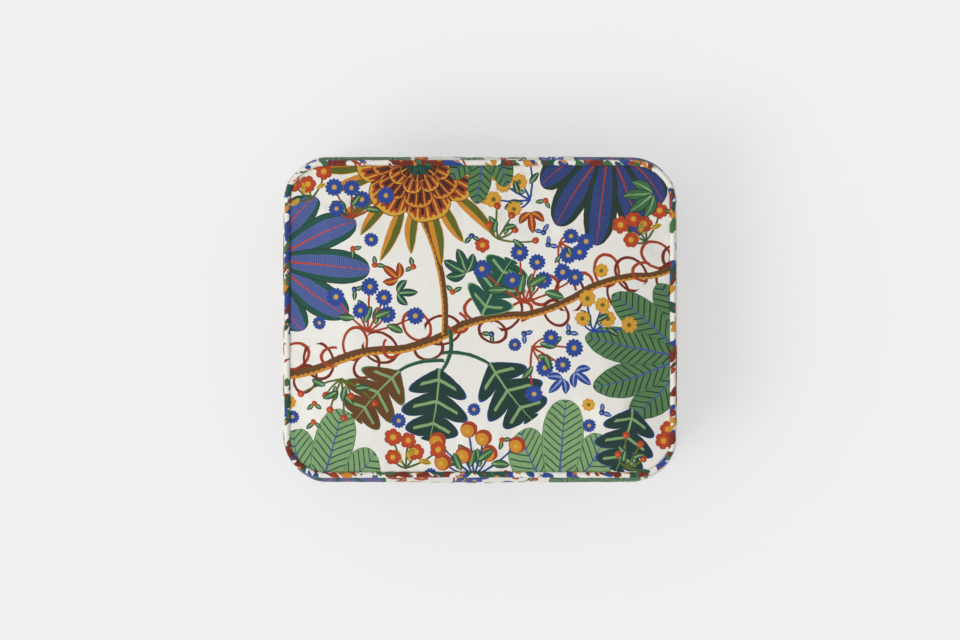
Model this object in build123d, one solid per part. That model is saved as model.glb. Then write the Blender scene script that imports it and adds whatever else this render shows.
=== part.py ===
from build123d import *
import os

# Packing cube: a padded fabric case with a zip-round lid that turns on a fabric strip at the back.
# Millimetres. +Z is up, the lid's hinge is at +Y, the zip sliders meet at -Y.
# The origin is on the ground, under the middle of the case.

# ---- driving dimensions ----
WIDTH = 300.0  # X, over the widest stretch of the wall
DEPTH = 250.0  # Y, over the widest stretch of the wall
HEIGHT = 116.0  # Z, to the crown of the lid
CORNER_RADIUS = 33.0  # outline's corner, seen from above
CORNER_MIN = 10.0  # smallest corner of any inner layer

SPLIT_Z = 70.0  # height at which lid and case part
BAND_HALF = 6.0  # zip band, from the split to each fabric edge
FABRIC = 1.0
TAPE = 0.6
LINING = 0.6
BOARD = 2.0
PIPING_R = 2.2
PIPING_CORD_R = 1.4

CASE_APEX = 2.0  # inset of the case wall at its widest height
LID_APEX = 0.0  # inset of the lid wall at its widest height
CASE_APEX_Z = 34.0
LID_APEX_Z = 88.5
BAND_INSET = 5.6  # inset of both fabric edges at the zip
BASE_SEAM = (5.2, 4.6)  # inset and height of the case wall's lower edge
LID_SEAM = (4.9, 101.1)  # inset and height of the lid wall's upper edge
BASE_PIPING = (4.0, PIPING_R)
LID_PIPING = (5.2, 103.6)
LINING_INSET = 10.4  # inner face of the lining
BINDING = 0.6
RIM_GAP = 0.8  # from the fabric edge at the zip to the bound rim inside
BOARD_GAP = 1.2
SEAM_ROOM = 0.5  # between the lid wall's foam and the top seam
REACH = 40.0  # depth of the boxes that split rings

LID_PAD_Z = 98.5  # underside of the lid's foam pad
LID_EDGE_Z = 104.0  # top panel's height at the piping
CROWN = ((7.6, 0.0), (22.0, 0.45), (50.0, 0.82), (90.0, 1.0))  # inset, share of the rise

COIL_WIDTH = 2.4
COIL_DEPTH = 2.0
CHAIN_GAP = 0.4  # from the split to each coil
TAPE_REACH = 12.0  # from the split to each tape's sewn edge
TAPE_GAP = 0.6  # from the split to each tape's free edge
ZIP_END_X = 100.0  # the zip stops here, on the back
STOP_LENGTH = 3.0
STOP_THICK = 0.8

SLIDER_LENGTH = 12.0
SLIDER_WIDTH = 9.6
SLIDER_ROUND = 2.5
SLIDER_REST_X = SLIDER_LENGTH / 2 + 0.6
SLIDER_OUTER = (BAND_INSET - 2.6, BAND_INSET - 1.3)  # insets of the outer plate's faces
SLIDER_INNER = (BAND_INSET + 1.9, BAND_INSET + 3.1)  # insets of the inner plate's faces
DIVIDER = (3.2, 0.5)  # length and thickness of the wedge between the plates
LIP = (7.0, 1.8, 1.4)  # length, depth and height of the guide on the case side
BRIDGE_R = 0.6
BRIDGE_INSET = BAND_INSET - 4.8  # bar's centre line: the pull's hinge axis
BRIDGE_HALF = 4.4
BRIDGE_BEND = 0.8
PULL_CLEARANCE = 0.05
PULL_LEATHER = 1.2
PULL_WIDTH = 7.0
PULL_LENGTH = 24.0
PULL_ROUND = 2.8
RIVET_R = 1.8
RIVET_SHANK_R = 0.7
RIVET_CAP = 0.6
RIVET_DROP = 7.0  # below the bar

HANDLE_WIDTH = 22.0
HANDLE_THICK = 1.4
HANDLE_HALF = 72.0
HANDLE_BOW = 4.3  # finger gap behind the strap
HANDLE_FREE = 26.0  # half of the stretch that stands at the full bow
HANDLE_BEND_R = 28.0
PATCH = (26.0, 26.0, 1.2)  # Y, Z and thickness of each leather patch
PATCH_Y = 61.0
PATCH_ROUND = 4.0

POCKET_Z = 91.6
POCKET_MESH = 0.6
POCKET_MOUTH_Y = -70.0
POCKET_BINDING = (4.0, 1.4)

FRONT = -DEPTH / 2
SIDE = WIDTH / 2
os.makedirs("parts", exist_ok=True)


# ---- helpers ----
def save(node, *solids):
    """Write one node: a single solid, or a group of separate ones."""
    shape = solids[0] if len(solids) == 1 else Compound(children=list(solids))
    shape.label = node
    export_step(shape, f"parts/{node}.step")
    return shape


def at(inset, z):
    """A point of a wall section, drawn on the XZ plane at the middle of the right end."""
    return (SIDE - inset, z)


def rounded(inset):
    """The outline of the case, seen from above, at an inset from its widest line."""
    radius = max(CORNER_RADIUS - inset, CORNER_MIN)
    return RectangleRounded(WIDTH - 2 * inset, DEPTH - 2 * inset, radius)


def slab(inset, low, high):
    """A flat layer with the case's outline."""
    return Pos(0, 0, low) * extrude(rounded(inset), high - low)


def ring(section):
    """Carry a section, drawn at the right end, all the way round the case."""
    corner_x = SIDE - CORNER_RADIUS
    corner_y = DEPTH / 2 - CORNER_RADIUS
    end_face = Plane.XZ * section
    side_face = Plane.YZ * (Pos(DEPTH / 2 - SIDE, 0) * section)
    end_run = extrude(end_face, corner_y, both=True)
    side_run = extrude(side_face, corner_x, both=True)
    bend = revolve(
        Pos(0, corner_y, 0) * end_face,
        Axis((corner_x, corner_y, 0), (0, 0, 1)),
        90,
    )
    bends = [bend, mirror(bend, Plane.YZ), mirror(bend, Plane.XZ)]
    bends.append(mirror(bends[1], Plane.XZ))
    runs = [end_run, mirror(end_run, Plane.YZ), side_run, mirror(side_run, Plane.XZ)]
    return (runs[0] + runs[1:] + bends).solid()


def block(inset_a, inset_b, low, high):
    """A rectangular wall section between two insets and two heights."""
    return make_face(
        Polyline(at(inset_a, low), at(inset_b, low), at(inset_b, high), at(inset_a, high), close=True)
    )


def bulge(start, apex, end):
    """Two arcs that meet upright at the wall's widest height."""
    lower = TangentArc(at(*apex), at(*start), tangent=(0, -1))
    upper = TangentArc(at(*apex), at(*end), tangent=(0, 1))
    return [lower, upper]


def wall_section(start, apex, end, shift, thick):
    """A bulging sheet of even thickness, measured inwards from the outer face."""
    outer = bulge(*[(p[0] + shift, p[1]) for p in (start, apex, end)])
    inner = bulge(*[(p[0] + shift + thick, p[1]) for p in (start, apex, end)])
    low = Line(at(start[0] + shift, start[1]), at(start[0] + shift + thick, start[1]))
    high = Line(at(end[0] + shift, end[1]), at(end[0] + shift + thick, end[1]))
    return make_face([*outer, high, *inner, low])


def foam_section(start, apex, end, low, high):
    """The space between the wall's fabric and the lining, between two heights."""
    outer = bulge(*[(p[0] + FABRIC, p[1]) for p in (start, apex, end)])
    inner = LINING_INSET - LINING
    back = Polyline(
        at(start[0] + FABRIC, start[1]), at(inner, start[1]), at(inner, end[1]), at(end[0] + FABRIC, end[1])
    )
    keep = block(-REACH, REACH, low, high)
    return make_face([*outer, back]) & keep


def circle_section(centre, radius):
    return Pos(*at(*centre)) * Circle(radius)


def piping(centre):
    """Filler cord and the fabric tube round it."""
    cord = circle_section(centre, PIPING_CORD_R)
    cover = circle_section(centre, PIPING_R) - cord
    return ring(cord), ring(cover)


def back_box(half_x, low, high):
    """A box round the back wall, used to split rings at the zip's ends."""
    return Pos(0, DEPTH / 2, (low + high) / 2) * Box(2 * half_x, REACH, high - low)


def crown(drop):
    """The crowned space under the top panel's outer face, lowered by drop."""
    rise = HEIGHT - LID_EDGE_Z
    sections = [Pos(0, 0, LID_EDGE_Z - drop + rise * share) * rounded(inset) for inset, share in CROWN]
    return loft([s.face() for s in sections], ruled=True)


# ---- case walls and floor ----
case_top = (BAND_INSET, SPLIT_Z - BAND_HALF)
case_line = (BASE_SEAM, (CASE_APEX, CASE_APEX_Z), case_top)
tape_face = BAND_INSET + FABRIC
tape_back = tape_face + TAPE
tape_low = SPLIT_Z - TAPE_REACH
rim_z = SPLIT_Z - BAND_HALF - RIM_GAP  # top of the case's inner rim
floor_z = 2.0 * FABRIC + BOARD

base_panel = slab(BASE_PIPING[0] + PIPING_R + 0.1, 0, FABRIC)
base_board = slab(BASE_SEAM[0] + BOARD_GAP, FABRIC, FABRIC + BOARD)
case_wall = ring(wall_section(*case_line, 0, FABRIC))
foam_inner = LINING_INSET - LINING
foam_lower = foam_section(*case_line, BASE_SEAM[1], tape_low)
foam_rim = block(tape_back + BINDING, foam_inner, tape_low, rim_z - BINDING)
case_wall_foam = ring(foam_lower + foam_rim)
case_lining = ring(block(foam_inner, LINING_INSET, floor_z, rim_z - BINDING))
case_lining = (case_lining + slab(LINING_INSET, floor_z, floor_z + LINING)).solid()
binding_case = Polyline(
    at(tape_back, tape_low),
    at(tape_back, rim_z),
    at(LINING_INSET, rim_z),
    at(LINING_INSET, rim_z - BINDING),
    at(tape_back + BINDING, rim_z - BINDING),
    at(tape_back + BINDING, tape_low),
    close=True,
)
case_seam_binding = ring(make_face(binding_case))
base_piping_cord, base_piping_cover = piping(BASE_PIPING)

save("base_panel", base_panel)
save("base_board", base_board)
save("case_wall", case_wall)
save("case_wall_foam", case_wall_foam)
save("case_lining", case_lining)
save("case_seam_binding", case_seam_binding)
save("base_piping_cord", base_piping_cord)
save("base_piping_cover", base_piping_cover)

# ---- lid ----
lid_low = (BAND_INSET, SPLIT_Z + BAND_HALF)
lid_line = (lid_low, (LID_APEX, LID_APEX_Z), LID_SEAM)
tape_high = SPLIT_Z + TAPE_REACH
lid_rim_z = SPLIT_Z + BAND_HALF + RIM_GAP

lid_wall = ring(wall_section(*lid_line, 0, FABRIC))
lid_foam_upper = foam_section(*lid_line, tape_high, LID_SEAM[1] - SEAM_ROOM)
lid_foam_rim = block(tape_back + BINDING, foam_inner, lid_rim_z + BINDING, tape_high)
lid_wall_foam = ring(lid_foam_upper + lid_foam_rim)
lid_lining = ring(block(foam_inner, LINING_INSET, lid_rim_z + BINDING, LID_PAD_Z))
lid_lining = (lid_lining + slab(LINING_INSET, LID_PAD_Z - LINING, LID_PAD_Z)).solid()
binding_lid = Polyline(
    at(tape_back, tape_high),
    at(tape_back, lid_rim_z),
    at(LINING_INSET, lid_rim_z),
    at(LINING_INSET, lid_rim_z + BINDING),
    at(tape_back + BINDING, lid_rim_z + BINDING),
    at(tape_back + BINDING, tape_high),
    close=True,
)
lid_seam_binding = ring(make_face(binding_lid))
lid_panel = crown(0) - crown(FABRIC)
lid_foam = crown(FABRIC) + slab(LINING_INSET, LID_PAD_Z, LID_EDGE_Z - FABRIC)
lid_piping_cord, lid_piping_cover = piping(LID_PIPING)

save("lid_panel", lid_panel.solid())
save("lid_foam", lid_foam.solid())
save("lid_wall", lid_wall)
save("lid_wall_foam", lid_wall_foam)
save("lid_lining", lid_lining)
save("lid_seam_binding", lid_seam_binding)
save("lid_piping_cord", lid_piping_cord)
save("lid_piping_cover", lid_piping_cover)

# ---- mesh pocket in the lid ----
pocket_front = Pos(0, POCKET_MOUTH_Y - DEPTH, 0) * Box(2 * WIDTH, 2 * DEPTH, 4 * HEIGHT)
mesh_pocket = slab(LINING_INSET, POCKET_Z, POCKET_Z + POCKET_MESH) - pocket_front
hem_y = POCKET_MOUTH_Y - POCKET_BINDING[0] / 2
hem_z = POCKET_Z + POCKET_MESH / 2
mesh_pocket_binding = Pos(0, hem_y, hem_z) * Box(
    WIDTH - 2 * LINING_INSET, POCKET_BINDING[0], POCKET_BINDING[1]
)
save("mesh_pocket", mesh_pocket.solid())
save("mesh_pocket_binding", mesh_pocket_binding.solid())

# ---- zip chain, hinge strip and end stops ----
behind = back_box(ZIP_END_X, 0, HEIGHT)
tape_behind = back_box(ZIP_END_X - 8.0, 0, HEIGHT)  # the tape runs on past the stops
coil_face = tape_face - COIL_DEPTH
low_coil = (SPLIT_Z - CHAIN_GAP - COIL_WIDTH, SPLIT_Z - CHAIN_GAP)
high_coil = (SPLIT_Z + CHAIN_GAP, SPLIT_Z + CHAIN_GAP + COIL_WIDTH)
lower_zip_tape = ring(block(tape_face, tape_back, tape_low, SPLIT_Z - TAPE_GAP)) - tape_behind
upper_zip_tape = ring(block(tape_face, tape_back, SPLIT_Z + TAPE_GAP, tape_high)) - behind
lower_zip_coil = ring(block(coil_face, tape_face, *low_coil)) - behind
upper_zip_coil = ring(block(coil_face, tape_face, *high_coil)) - behind
save("lower_zip_tape", lower_zip_tape.solid())
save("upper_zip_tape", upper_zip_tape.solid())
save("lower_zip_coil", lower_zip_coil.solid())
save("upper_zip_coil", upper_zip_coil.solid())

strip_ring = ring(block(BAND_INSET, tape_face, case_top[1], lid_low[1]))
hinge_strip = strip_ring & back_box(ZIP_END_X - TAPE_GAP, 0, HEIGHT)
save("hinge_strip", hinge_strip.solid())

stop_low = low_coil[0] - STOP_THICK
stop_plate = block(coil_face - STOP_THICK, coil_face, stop_low, low_coil[1])
stop_lip = block(coil_face, tape_face, stop_low, low_coil[0])
stop_ring = ring(stop_plate + stop_lip)
stop_x = ZIP_END_X + 1.0 + STOP_LENGTH / 2
stop_box = Pos(stop_x, DEPTH / 2, SPLIT_Z) * Box(STOP_LENGTH, REACH, 2 * TAPE_REACH)
end_stop = (stop_ring & stop_box).solid()
save("zip_end_stops", end_stop, mirror(end_stop, Plane.YZ))

# ---- side handle, on the left end ----
wall_x = -SIDE + CASE_APEX
strap_out = wall_x - HANDLE_BOW
flat_start = PATCH_Y - PATCH[0] / 2 - 3.5  # from here outwards the strap lies on the wall
strap_line = [
    (wall_x, -HANDLE_HALF),
    (wall_x, -flat_start),
    (strap_out, -HANDLE_FREE),
    (strap_out, HANDLE_FREE),
    (wall_x, flat_start),
    (wall_x, HANDLE_HALF),
]
strap_face = FilletPolyline(*strap_line, radius=HANDLE_BEND_R)
strap_back = Pos(-HANDLE_THICK, 0) * strap_face
strap_ends = [Line(strap_face @ 0, strap_back @ 0), Line(strap_face @ 1, strap_back @ 1)]
strap_profile = make_face([*strap_face.edges(), *strap_back.edges(), *strap_ends])
side_handle = Pos(0, 0, CASE_APEX_Z) * extrude(strap_profile, HANDLE_WIDTH / 2, both=True)
save("side_handle", side_handle.solid())

patch_x = wall_x - HANDLE_THICK - PATCH[2] / 2
patch = Pos(patch_x, PATCH_Y, CASE_APEX_Z) * Box(PATCH[2], PATCH[0], PATCH[1])
patch = fillet(patch.edges().filter_by(Axis.X), PATCH_ROUND)
save("handle_patches", patch.solid(), mirror(patch.solid(), Plane.XZ))


# ---- sliders and pulls ----
def make_slider(x):
    """Slider body: two plates joined by the divider, with a lip on the case side only."""
    low, high = SPLIT_Z - SLIDER_WIDTH / 2, SPLIT_Z + SLIDER_WIDTH / 2
    plates = []
    for near, far in (SLIDER_OUTER, SLIDER_INNER):
        middle = FRONT + (near + far) / 2
        plate = Pos(x, middle, SPLIT_Z) * Box(SLIDER_LENGTH, far - near, high - low)
        plates.append(fillet(plate.edges().filter_by(Axis.Y), SLIDER_ROUND))
    nose = -1 if x > 0 else 1
    divider_x = x + nose * (SLIDER_LENGTH - 1.5 * DIVIDER[0]) / 2
    reach = SLIDER_INNER[0] - SLIDER_OUTER[1]
    wedge = Box(DIVIDER[0], reach, DIVIDER[1])
    divider = Pos(divider_x, FRONT + SLIDER_OUTER[1] + reach / 2, SPLIT_Z) * wedge
    lip = Pos(x, FRONT + SLIDER_OUTER[1] + LIP[1] / 2, low + LIP[2] / 2) * Box(*LIP)
    return (plates[0] + plates[1] + divider + lip).solid()


def make_bridge(x):
    """Wire bridge: a straight bar along X on two legs."""
    bar_y = FRONT + BRIDGE_INSET
    leg = SLIDER_OUTER[0] - BRIDGE_INSET
    line = FilletPolyline(
        (x - BRIDGE_HALF, bar_y + leg, SPLIT_Z),
        (x - BRIDGE_HALF, bar_y, SPLIT_Z),
        (x + BRIDGE_HALF, bar_y, SPLIT_Z),
        (x + BRIDGE_HALF, bar_y + leg, SPLIT_Z),
        radius=BRIDGE_BEND,
    )
    foot = Plane(line @ 0, z_dir=(0, -1, 0))
    return sweep(foot * Circle(BRIDGE_R), path=line).solid()


def make_pull(x):
    """Leather strap folded round the bar, its two layers lying together below it."""
    eye = BRIDGE_R + PULL_CLEARANCE
    eye_out = eye + PULL_LEATHER
    loop = Circle(eye_out)
    tail_length = PULL_LENGTH - eye_out
    tail = Pos(0, -tail_length / 2) * Rectangle(2 * PULL_LEATHER, tail_length)
    profile = loop + tail - Circle(eye)
    middle = Plane((x, FRONT + BRIDGE_INSET, SPLIT_Z), x_dir=(0, 1, 0), z_dir=(1, 0, 0))
    pull = extrude(middle * profile, PULL_WIDTH / 2, both=True)
    tip = pull.edges().filter_by(Axis.Y).group_by(Axis.Z)[0]
    return fillet(tip, PULL_ROUND).solid()


def make_rivet(x):
    """Flat caps on both faces of the pull and the shank between them."""
    rivet_z = SPLIT_Z - RIVET_DROP
    caps = []
    for side in (-1, 1):
        y = FRONT + BRIDGE_INSET + side * (PULL_LEATHER + RIVET_CAP / 2)
        caps.append(Pos(x, y, rivet_z) * Rot(90, 0, 0) * Cylinder(RIVET_R, RIVET_CAP))
    shank = Pos(x, FRONT + BRIDGE_INSET, rivet_z) * Rot(90, 0, 0)
    shank = shank * Cylinder(RIVET_SHANK_R, 2 * PULL_LEATHER)
    return (caps[0] + caps[1] + shank).solid(), shank


for side, rest_x in (("left", -SLIDER_REST_X), ("right", SLIDER_REST_X)):
    rivet, shank = make_rivet(rest_x)
    save(f"{side}_zip_slider", make_slider(rest_x))
    save(f"{side}_slider_bridge", make_bridge(rest_x))
    save(f"{side}_pull_tab", (make_pull(rest_x) - shank).solid())
    save(f"{side}_pull_rivet", rivet)
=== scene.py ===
import math
import random
from functools import partial

import bpy
import bmesh
import numpy as np
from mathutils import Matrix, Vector


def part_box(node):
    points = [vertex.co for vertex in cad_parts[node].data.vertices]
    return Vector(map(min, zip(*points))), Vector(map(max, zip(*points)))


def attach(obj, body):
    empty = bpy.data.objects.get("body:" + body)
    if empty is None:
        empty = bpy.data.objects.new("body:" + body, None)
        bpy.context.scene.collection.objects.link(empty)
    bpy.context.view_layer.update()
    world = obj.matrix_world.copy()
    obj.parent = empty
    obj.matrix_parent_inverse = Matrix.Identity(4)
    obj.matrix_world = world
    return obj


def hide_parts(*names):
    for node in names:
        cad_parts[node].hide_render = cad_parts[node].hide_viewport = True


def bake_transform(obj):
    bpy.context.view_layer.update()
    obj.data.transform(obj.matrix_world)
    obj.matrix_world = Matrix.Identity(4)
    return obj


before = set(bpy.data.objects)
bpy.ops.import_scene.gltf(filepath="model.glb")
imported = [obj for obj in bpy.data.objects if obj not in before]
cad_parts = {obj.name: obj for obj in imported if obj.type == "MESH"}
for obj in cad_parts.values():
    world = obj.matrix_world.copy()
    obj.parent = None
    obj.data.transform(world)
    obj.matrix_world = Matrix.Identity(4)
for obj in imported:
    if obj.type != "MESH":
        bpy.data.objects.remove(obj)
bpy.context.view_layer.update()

# Packing cube in printed canvas. Metres; the print is laid out in millimetres of cloth.
MM = 0.001

# ---------------------------------------------------------------- sizes, from the frame
wall_low, wall_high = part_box("lid_wall")
HALF_X, HALF_Y = wall_high[0], wall_high[1]
CORNER = 33 * MM
case_low, case_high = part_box("case_wall")
SPLIT_Z = (case_high[2] + wall_low[2]) / 2
CROWN_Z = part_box("lid_panel")[1][2]
BAND_INSET = 5.6 * MM
CASE_APEX = (2.0 * MM, 34.0 * MM)
LID_APEX = (0.0, 88.5 * MM)
CASE_SEAM = (5.2 * MM, case_low[2])
LID_SEAM = (4.9 * MM, wall_high[2])
PIPING_R = 2.2 * MM
BASE_PIPING = (4.0 * MM, PIPING_R)
LID_PIPING = (5.2 * MM, 103.6 * MM)
FABRIC = 1.0 * MM
LINING_INSET = 9.8 * MM
TAPE_INSET = BAND_INSET + 1.0 * MM
LINING_FLOOR, LINING_TOP = (corner[2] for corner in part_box("case_lining"))
LID_LINING_LOW, LID_LINING_HIGH = (corner[2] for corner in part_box("lid_lining"))
ZIP_END_X = 100 * MM
LINING = 0.6 * MM
TAPE_LOW, TAPE_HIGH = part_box("lower_zip_tape")[0][2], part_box("upper_zip_tape")[1][2]
FRONT_TUCK, BACK_TUCK = 2.4 * MM, 0.4 * MM  # how much further in the top seam sits at the front and back
END_EASE = 1.6 * MM  # and how much further out at the ends


# ---------------------------------------------------------------- shader arithmetic
class Value:
    """A number in a shader, which adds Math nodes as it is calculated with."""

    def __init__(self, socket):
        self.socket = socket

    def __neg__(self):
        return self * -1.0


def connect(tree, term, socket):
    """Link a Value or an output to the socket, or set the socket to a number or colour."""
    term = term.socket if isinstance(term, Value) else term
    if isinstance(term, bpy.types.NodeSocket):
        tree.links.new(term, socket)
    else:
        socket.default_value = term


def set_inputs(tree, node, inputs):
    for key, term in inputs.items():
        connect(tree, term, node.inputs[key])


def add_node(tree, kind, inputs, **settings):
    """A shader node with its settings, and its inputs linked or set."""
    node = tree.nodes.new(f"ShaderNode{kind}")
    for key, value in settings.items():
        setattr(node, key, value)
    set_inputs(tree, node, inputs)
    return node


def calc(operation, *terms, clamp=False):
    """One Math node; the terms are numbers or Values."""
    tree = next(t for t in terms if isinstance(t, Value)).socket.id_data
    node = add_node(tree, "Math", dict(enumerate(terms)), operation=operation, use_clamp=clamp)
    return Value(node.outputs[0])


def operator(operation, swapped=False):
    return lambda a, b: calc(operation, b, a) if swapped else calc(operation, a, b)


for symbol, operation in (("add", "ADD"), ("sub", "SUBTRACT"), ("mul", "MULTIPLY"), ("truediv", "DIVIDE")):
    setattr(Value, f"__{symbol}__", operator(operation))
    setattr(Value, f"__r{symbol}__", operator(operation, swapped=True))

absolute, sine, root = (partial(calc, operation) for operation in ("ABSOLUTE", "SINE", "SQRT"))
lower_of, higher_of = partial(calc, "MINIMUM"), partial(calc, "MAXIMUM")


def vector_math(tree, operation, *terms):
    return add_node(tree, "VectorMath", dict(enumerate(terms)), operation=operation).outputs[0]


def split_xyz(tree, vector):
    return [Value(output) for output in add_node(tree, "SeparateXYZ", {0: vector}).outputs]


def inside(distance, soft=0.22):
    """1 where a distance in millimetres is above 0, with a soft printed edge."""
    return calc("MULTIPLY_ADD", distance, 1.0 / soft, 0.5, clamp=True)


def blend_colour(factor, first, second):
    """Mix two colours; the numbers are the places of the Mix node's colour sockets."""
    node = add_node(factor.socket.id_data, "Mix", {0: factor, 6: first, 7: second}, data_type="RGBA")
    return node.outputs[2]


def rgb(text):
    """A hex colour as linear RGBA."""
    parts = [int(text[i:i + 2], 16) / 255 for i in (0, 2, 4)]
    return tuple(p / 12.92 if p <= 0.04045 else ((p + 0.055) / 1.055) ** 2.4 for p in parts) + (1.0,)


CREAM = rgb("E8E6DE")
TEAL = rgb("1E4F43")
DEEP = rgb("1B3832")
GREEN = rgb("3C6B43")
MID_GREEN = rgb("577F4E")
LIGHT_GREEN = rgb("7FA26C")
OLIVE = rgb("5A6420")
BLUE = rgb("264490")
MID_BLUE = rgb("45599A")
PALE_BLUE = rgb("8798C4")
ORANGE = rgb("CB8728")
RED_ORANGE = rgb("B84320")
RED_BROWN = rgb("752614")
BROWN = rgb("63401E")
DARK_BROWN = rgb("362014")
YELLOW = rgb("D0A033")
RUST = rgb("A03C1C")


# ---------------------------------------------------------------- print motifs, as node groups
def new_group(name, inputs, outputs):
    """A node group and its inputs. inputs and outputs give each socket's kind by its name."""
    tree = bpy.data.node_groups.new(name, "ShaderNodeTree")
    for way, sockets in (("INPUT", inputs), ("OUTPUT", outputs)):
        for text, kind in sockets.items():
            tree.interface.new_socket(text, in_out=way, socket_type=f"NodeSocket{kind}")
    return tree, tree.nodes.new("NodeGroupInput").outputs


def end_group(tree, results):
    set_inputs(tree, tree.nodes.new("NodeGroupOutput"), results)
    return tree


def motif(name, colours, numbers):
    """A group that paints one motif over Color at the cloth position Place."""
    inputs = {"Color": "Color", "Place": "Vector"}
    inputs |= dict.fromkeys(colours, "Color") | dict.fromkeys(numbers, "Float")
    tree, given = new_group(name, inputs, {"Color": "Color"})
    px, py, _ = split_xyz(tree, given["Place"])
    values = {text: Value(given[text]) for text in numbers} | {text: given[text] for text in colours}
    return tree, given["Color"], px, py, values


PLACED = ("X", "Y", "Cos", "Sin")


def local(px, py, g):
    """Along and across a motif's own axis."""
    dx = px - g["X"]
    dy = py - g["Y"]
    along = dx * g["Cos"] + dy * g["Sin"]
    across = dy * g["Cos"] - dx * g["Sin"]
    return along, across


def polar(px, py, g):
    """Distance from a motif's middle, and turns round it."""
    dx = px - g["X"]
    dy = py - g["Y"]
    return root(dx * dx + dy * dy), calc("ARCTAN2", dy, dx) * (1 / (2 * math.pi))


def leaf_group(name, taper=0.5, belly=0.0, style="plain"):
    """A leaf with a rim and midrib. taper sets how pointed it is and belly how much wider near its tip.

    The styles are plain, veined, dotted (a spotted inner panel), lobed and halved (two tones).
    """
    colours = ["Fill", "Rim", "Rib"]
    colours += {"veined": ["Vein"], "dotted": ["Panel", "Dot"], "lobed": ["Vein"]}.get(style, [])
    tree, under, px, py, g = motif(name, colours, PLACED + ("Length", "Width", "Bend"))
    along, across = local(px, py, g)
    u = along / g["Length"]
    hump = higher_of(u * (1.0 - u) * 4.0, 0.0)
    v = across - g["Bend"] * hump * 0.25
    side = absolute(v)
    half = g["Width"] * calc("POWER", hump, taper) * (u * belly + (1.0 - belly * 0.55))
    if style == "lobed":
        wave = absolute(sine((along - side * 0.4) / g["Length"] * (math.pi * 3.3)))
        half = half * (calc("POWER", wave, 0.5) * 0.74 + 0.28)
    gap = half - side - 0.15
    colour = blend_colour(inside(gap), under, g["Rim"])
    if style == "halved":
        inner = inside(gap - 0.55) * inside(v + half * 0.15)
        colour = blend_colour(inner, colour, g["Fill"])
        return end_group(tree, {"Color": colour})
    colour = blend_colour(inside(gap - (1.2 if style == "lobed" else 0.8)), colour, g["Fill"])
    if style == "dotted":
        panel_edge = half * 0.64 - side - 0.4
        colour = blend_colour(inside(panel_edge), colour, g["Panel"])
        grid = sine(along * 2.1) * sine(v * 2.5 + along * 0.5)
        spots = inside(absolute(grid) - 0.52, 0.3) * inside(panel_edge - 0.3)
        colour = blend_colour(spots, colour, g["Dot"])
    if style == "veined":
        phase = calc("FRACT", (along - side * 0.75) * (1 / 5.6))
        stripe = 1.0 - absolute(phase * 2.0 - 1.0)
        line = inside(stripe - 0.77, 0.14) * inside(half * 0.9 - side)
        colour = blend_colour(line, colour, g["Vein"])
    if style == "lobed":
        line = inside(wave - 0.975, 0.02) * inside(half * 0.66 - side)
        colour = blend_colour(line, colour, g["Vein"])
    rib = inside((1.0 - u) * 0.75 - side + 0.2) * inside(gap - 0.9)
    colour = blend_colour(rib, colour, g["Rib"])
    return end_group(tree, {"Color": colour})


def flower_group(name):
    """A round flower with a scalloped, notched edge and a ringed eye."""
    tree, under, px, py, g = motif(
        name, ["Fill", "Line", "Eye", "Ring"], ("X", "Y", "Radius", "Petals", "Turn", "Eye Radius")
    )
    distance, angle = polar(px, py, g)
    phase = calc("FRACT", angle * g["Petals"] + g["Turn"]) - 0.5
    side = absolute(phase) * 2.0
    gap = g["Radius"] * (1.0 - 0.2 * side * side * side) - distance
    colour = blend_colour(inside(gap), under, g["Line"])
    notch = inside((0.84 - side) * distance * 0.6 + (g["Radius"] * 0.62 - distance), 0.4)
    petal = inside(gap - 0.35) * notch
    colour = blend_colour(petal, colour, g["Fill"])
    colour = blend_colour(inside(g["Eye Radius"] - distance), colour, g["Ring"])
    colour = blend_colour(inside(g["Eye Radius"] * 0.68 - distance), colour, g["Eye"])
    return end_group(tree, {"Color": colour})


def petal_ring_group(name):
    """One ring of broad petals of the large bloom: streaked from the middle out, with a ruffled edge."""
    tree, under, px, py, g = motif(
        name, ["Fill", "Shade", "Edge", "Line"], ("X", "Y", "Radius", "Petals", "Turn", "Streaks")
    )
    distance, angle = polar(px, py, g)
    phase = calc("FRACT", angle * g["Petals"] + g["Turn"]) - 0.5
    side = absolute(phase) * 2.0
    gap = g["Radius"] * (1.0 - 0.17 * side * side * side) - distance
    colour = blend_colour(inside(gap), under, g["Line"])
    petal = inside(gap - 0.7) * inside((0.95 - side) * distance * 0.3, 0.3)
    colour = blend_colour(petal, colour, g["Edge"])
    depth = gap / g["Radius"]
    streak = sine(phase * g["Streaks"])
    inner = petal * inside(depth - 0.05 - absolute(streak) * 0.045, 0.02)
    colour = blend_colour(inner, colour, g["Fill"])
    dark = inner * inside(streak - 0.5, 0.3) * inside(depth - 0.13, 0.02)
    colour = blend_colour(dark, colour, g["Shade"])
    light = inner * inside(-streak - 0.86, 0.2)
    colour = blend_colour(light, colour, g["Edge"])
    return end_group(tree, {"Color": colour})


def ring_group(name):
    """A tendril: a thin printed oval, left open on one side."""
    tree, under, px, py, g = motif(name, ["Fill"], ("X", "Y", "Cos", "Sin", "Radius", "Width", "Open"))
    along, across = local(px, py, g)
    squash = across * 1.3
    distance = root(along * along + squash * squash)
    gap = g["Width"] - absolute(distance - g["Radius"])
    shown = inside(gap) * inside(g["Open"] * g["Radius"] - along, 0.5)
    return end_group(tree, {"Color": blend_colour(shown, under, g["Fill"])})


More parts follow.
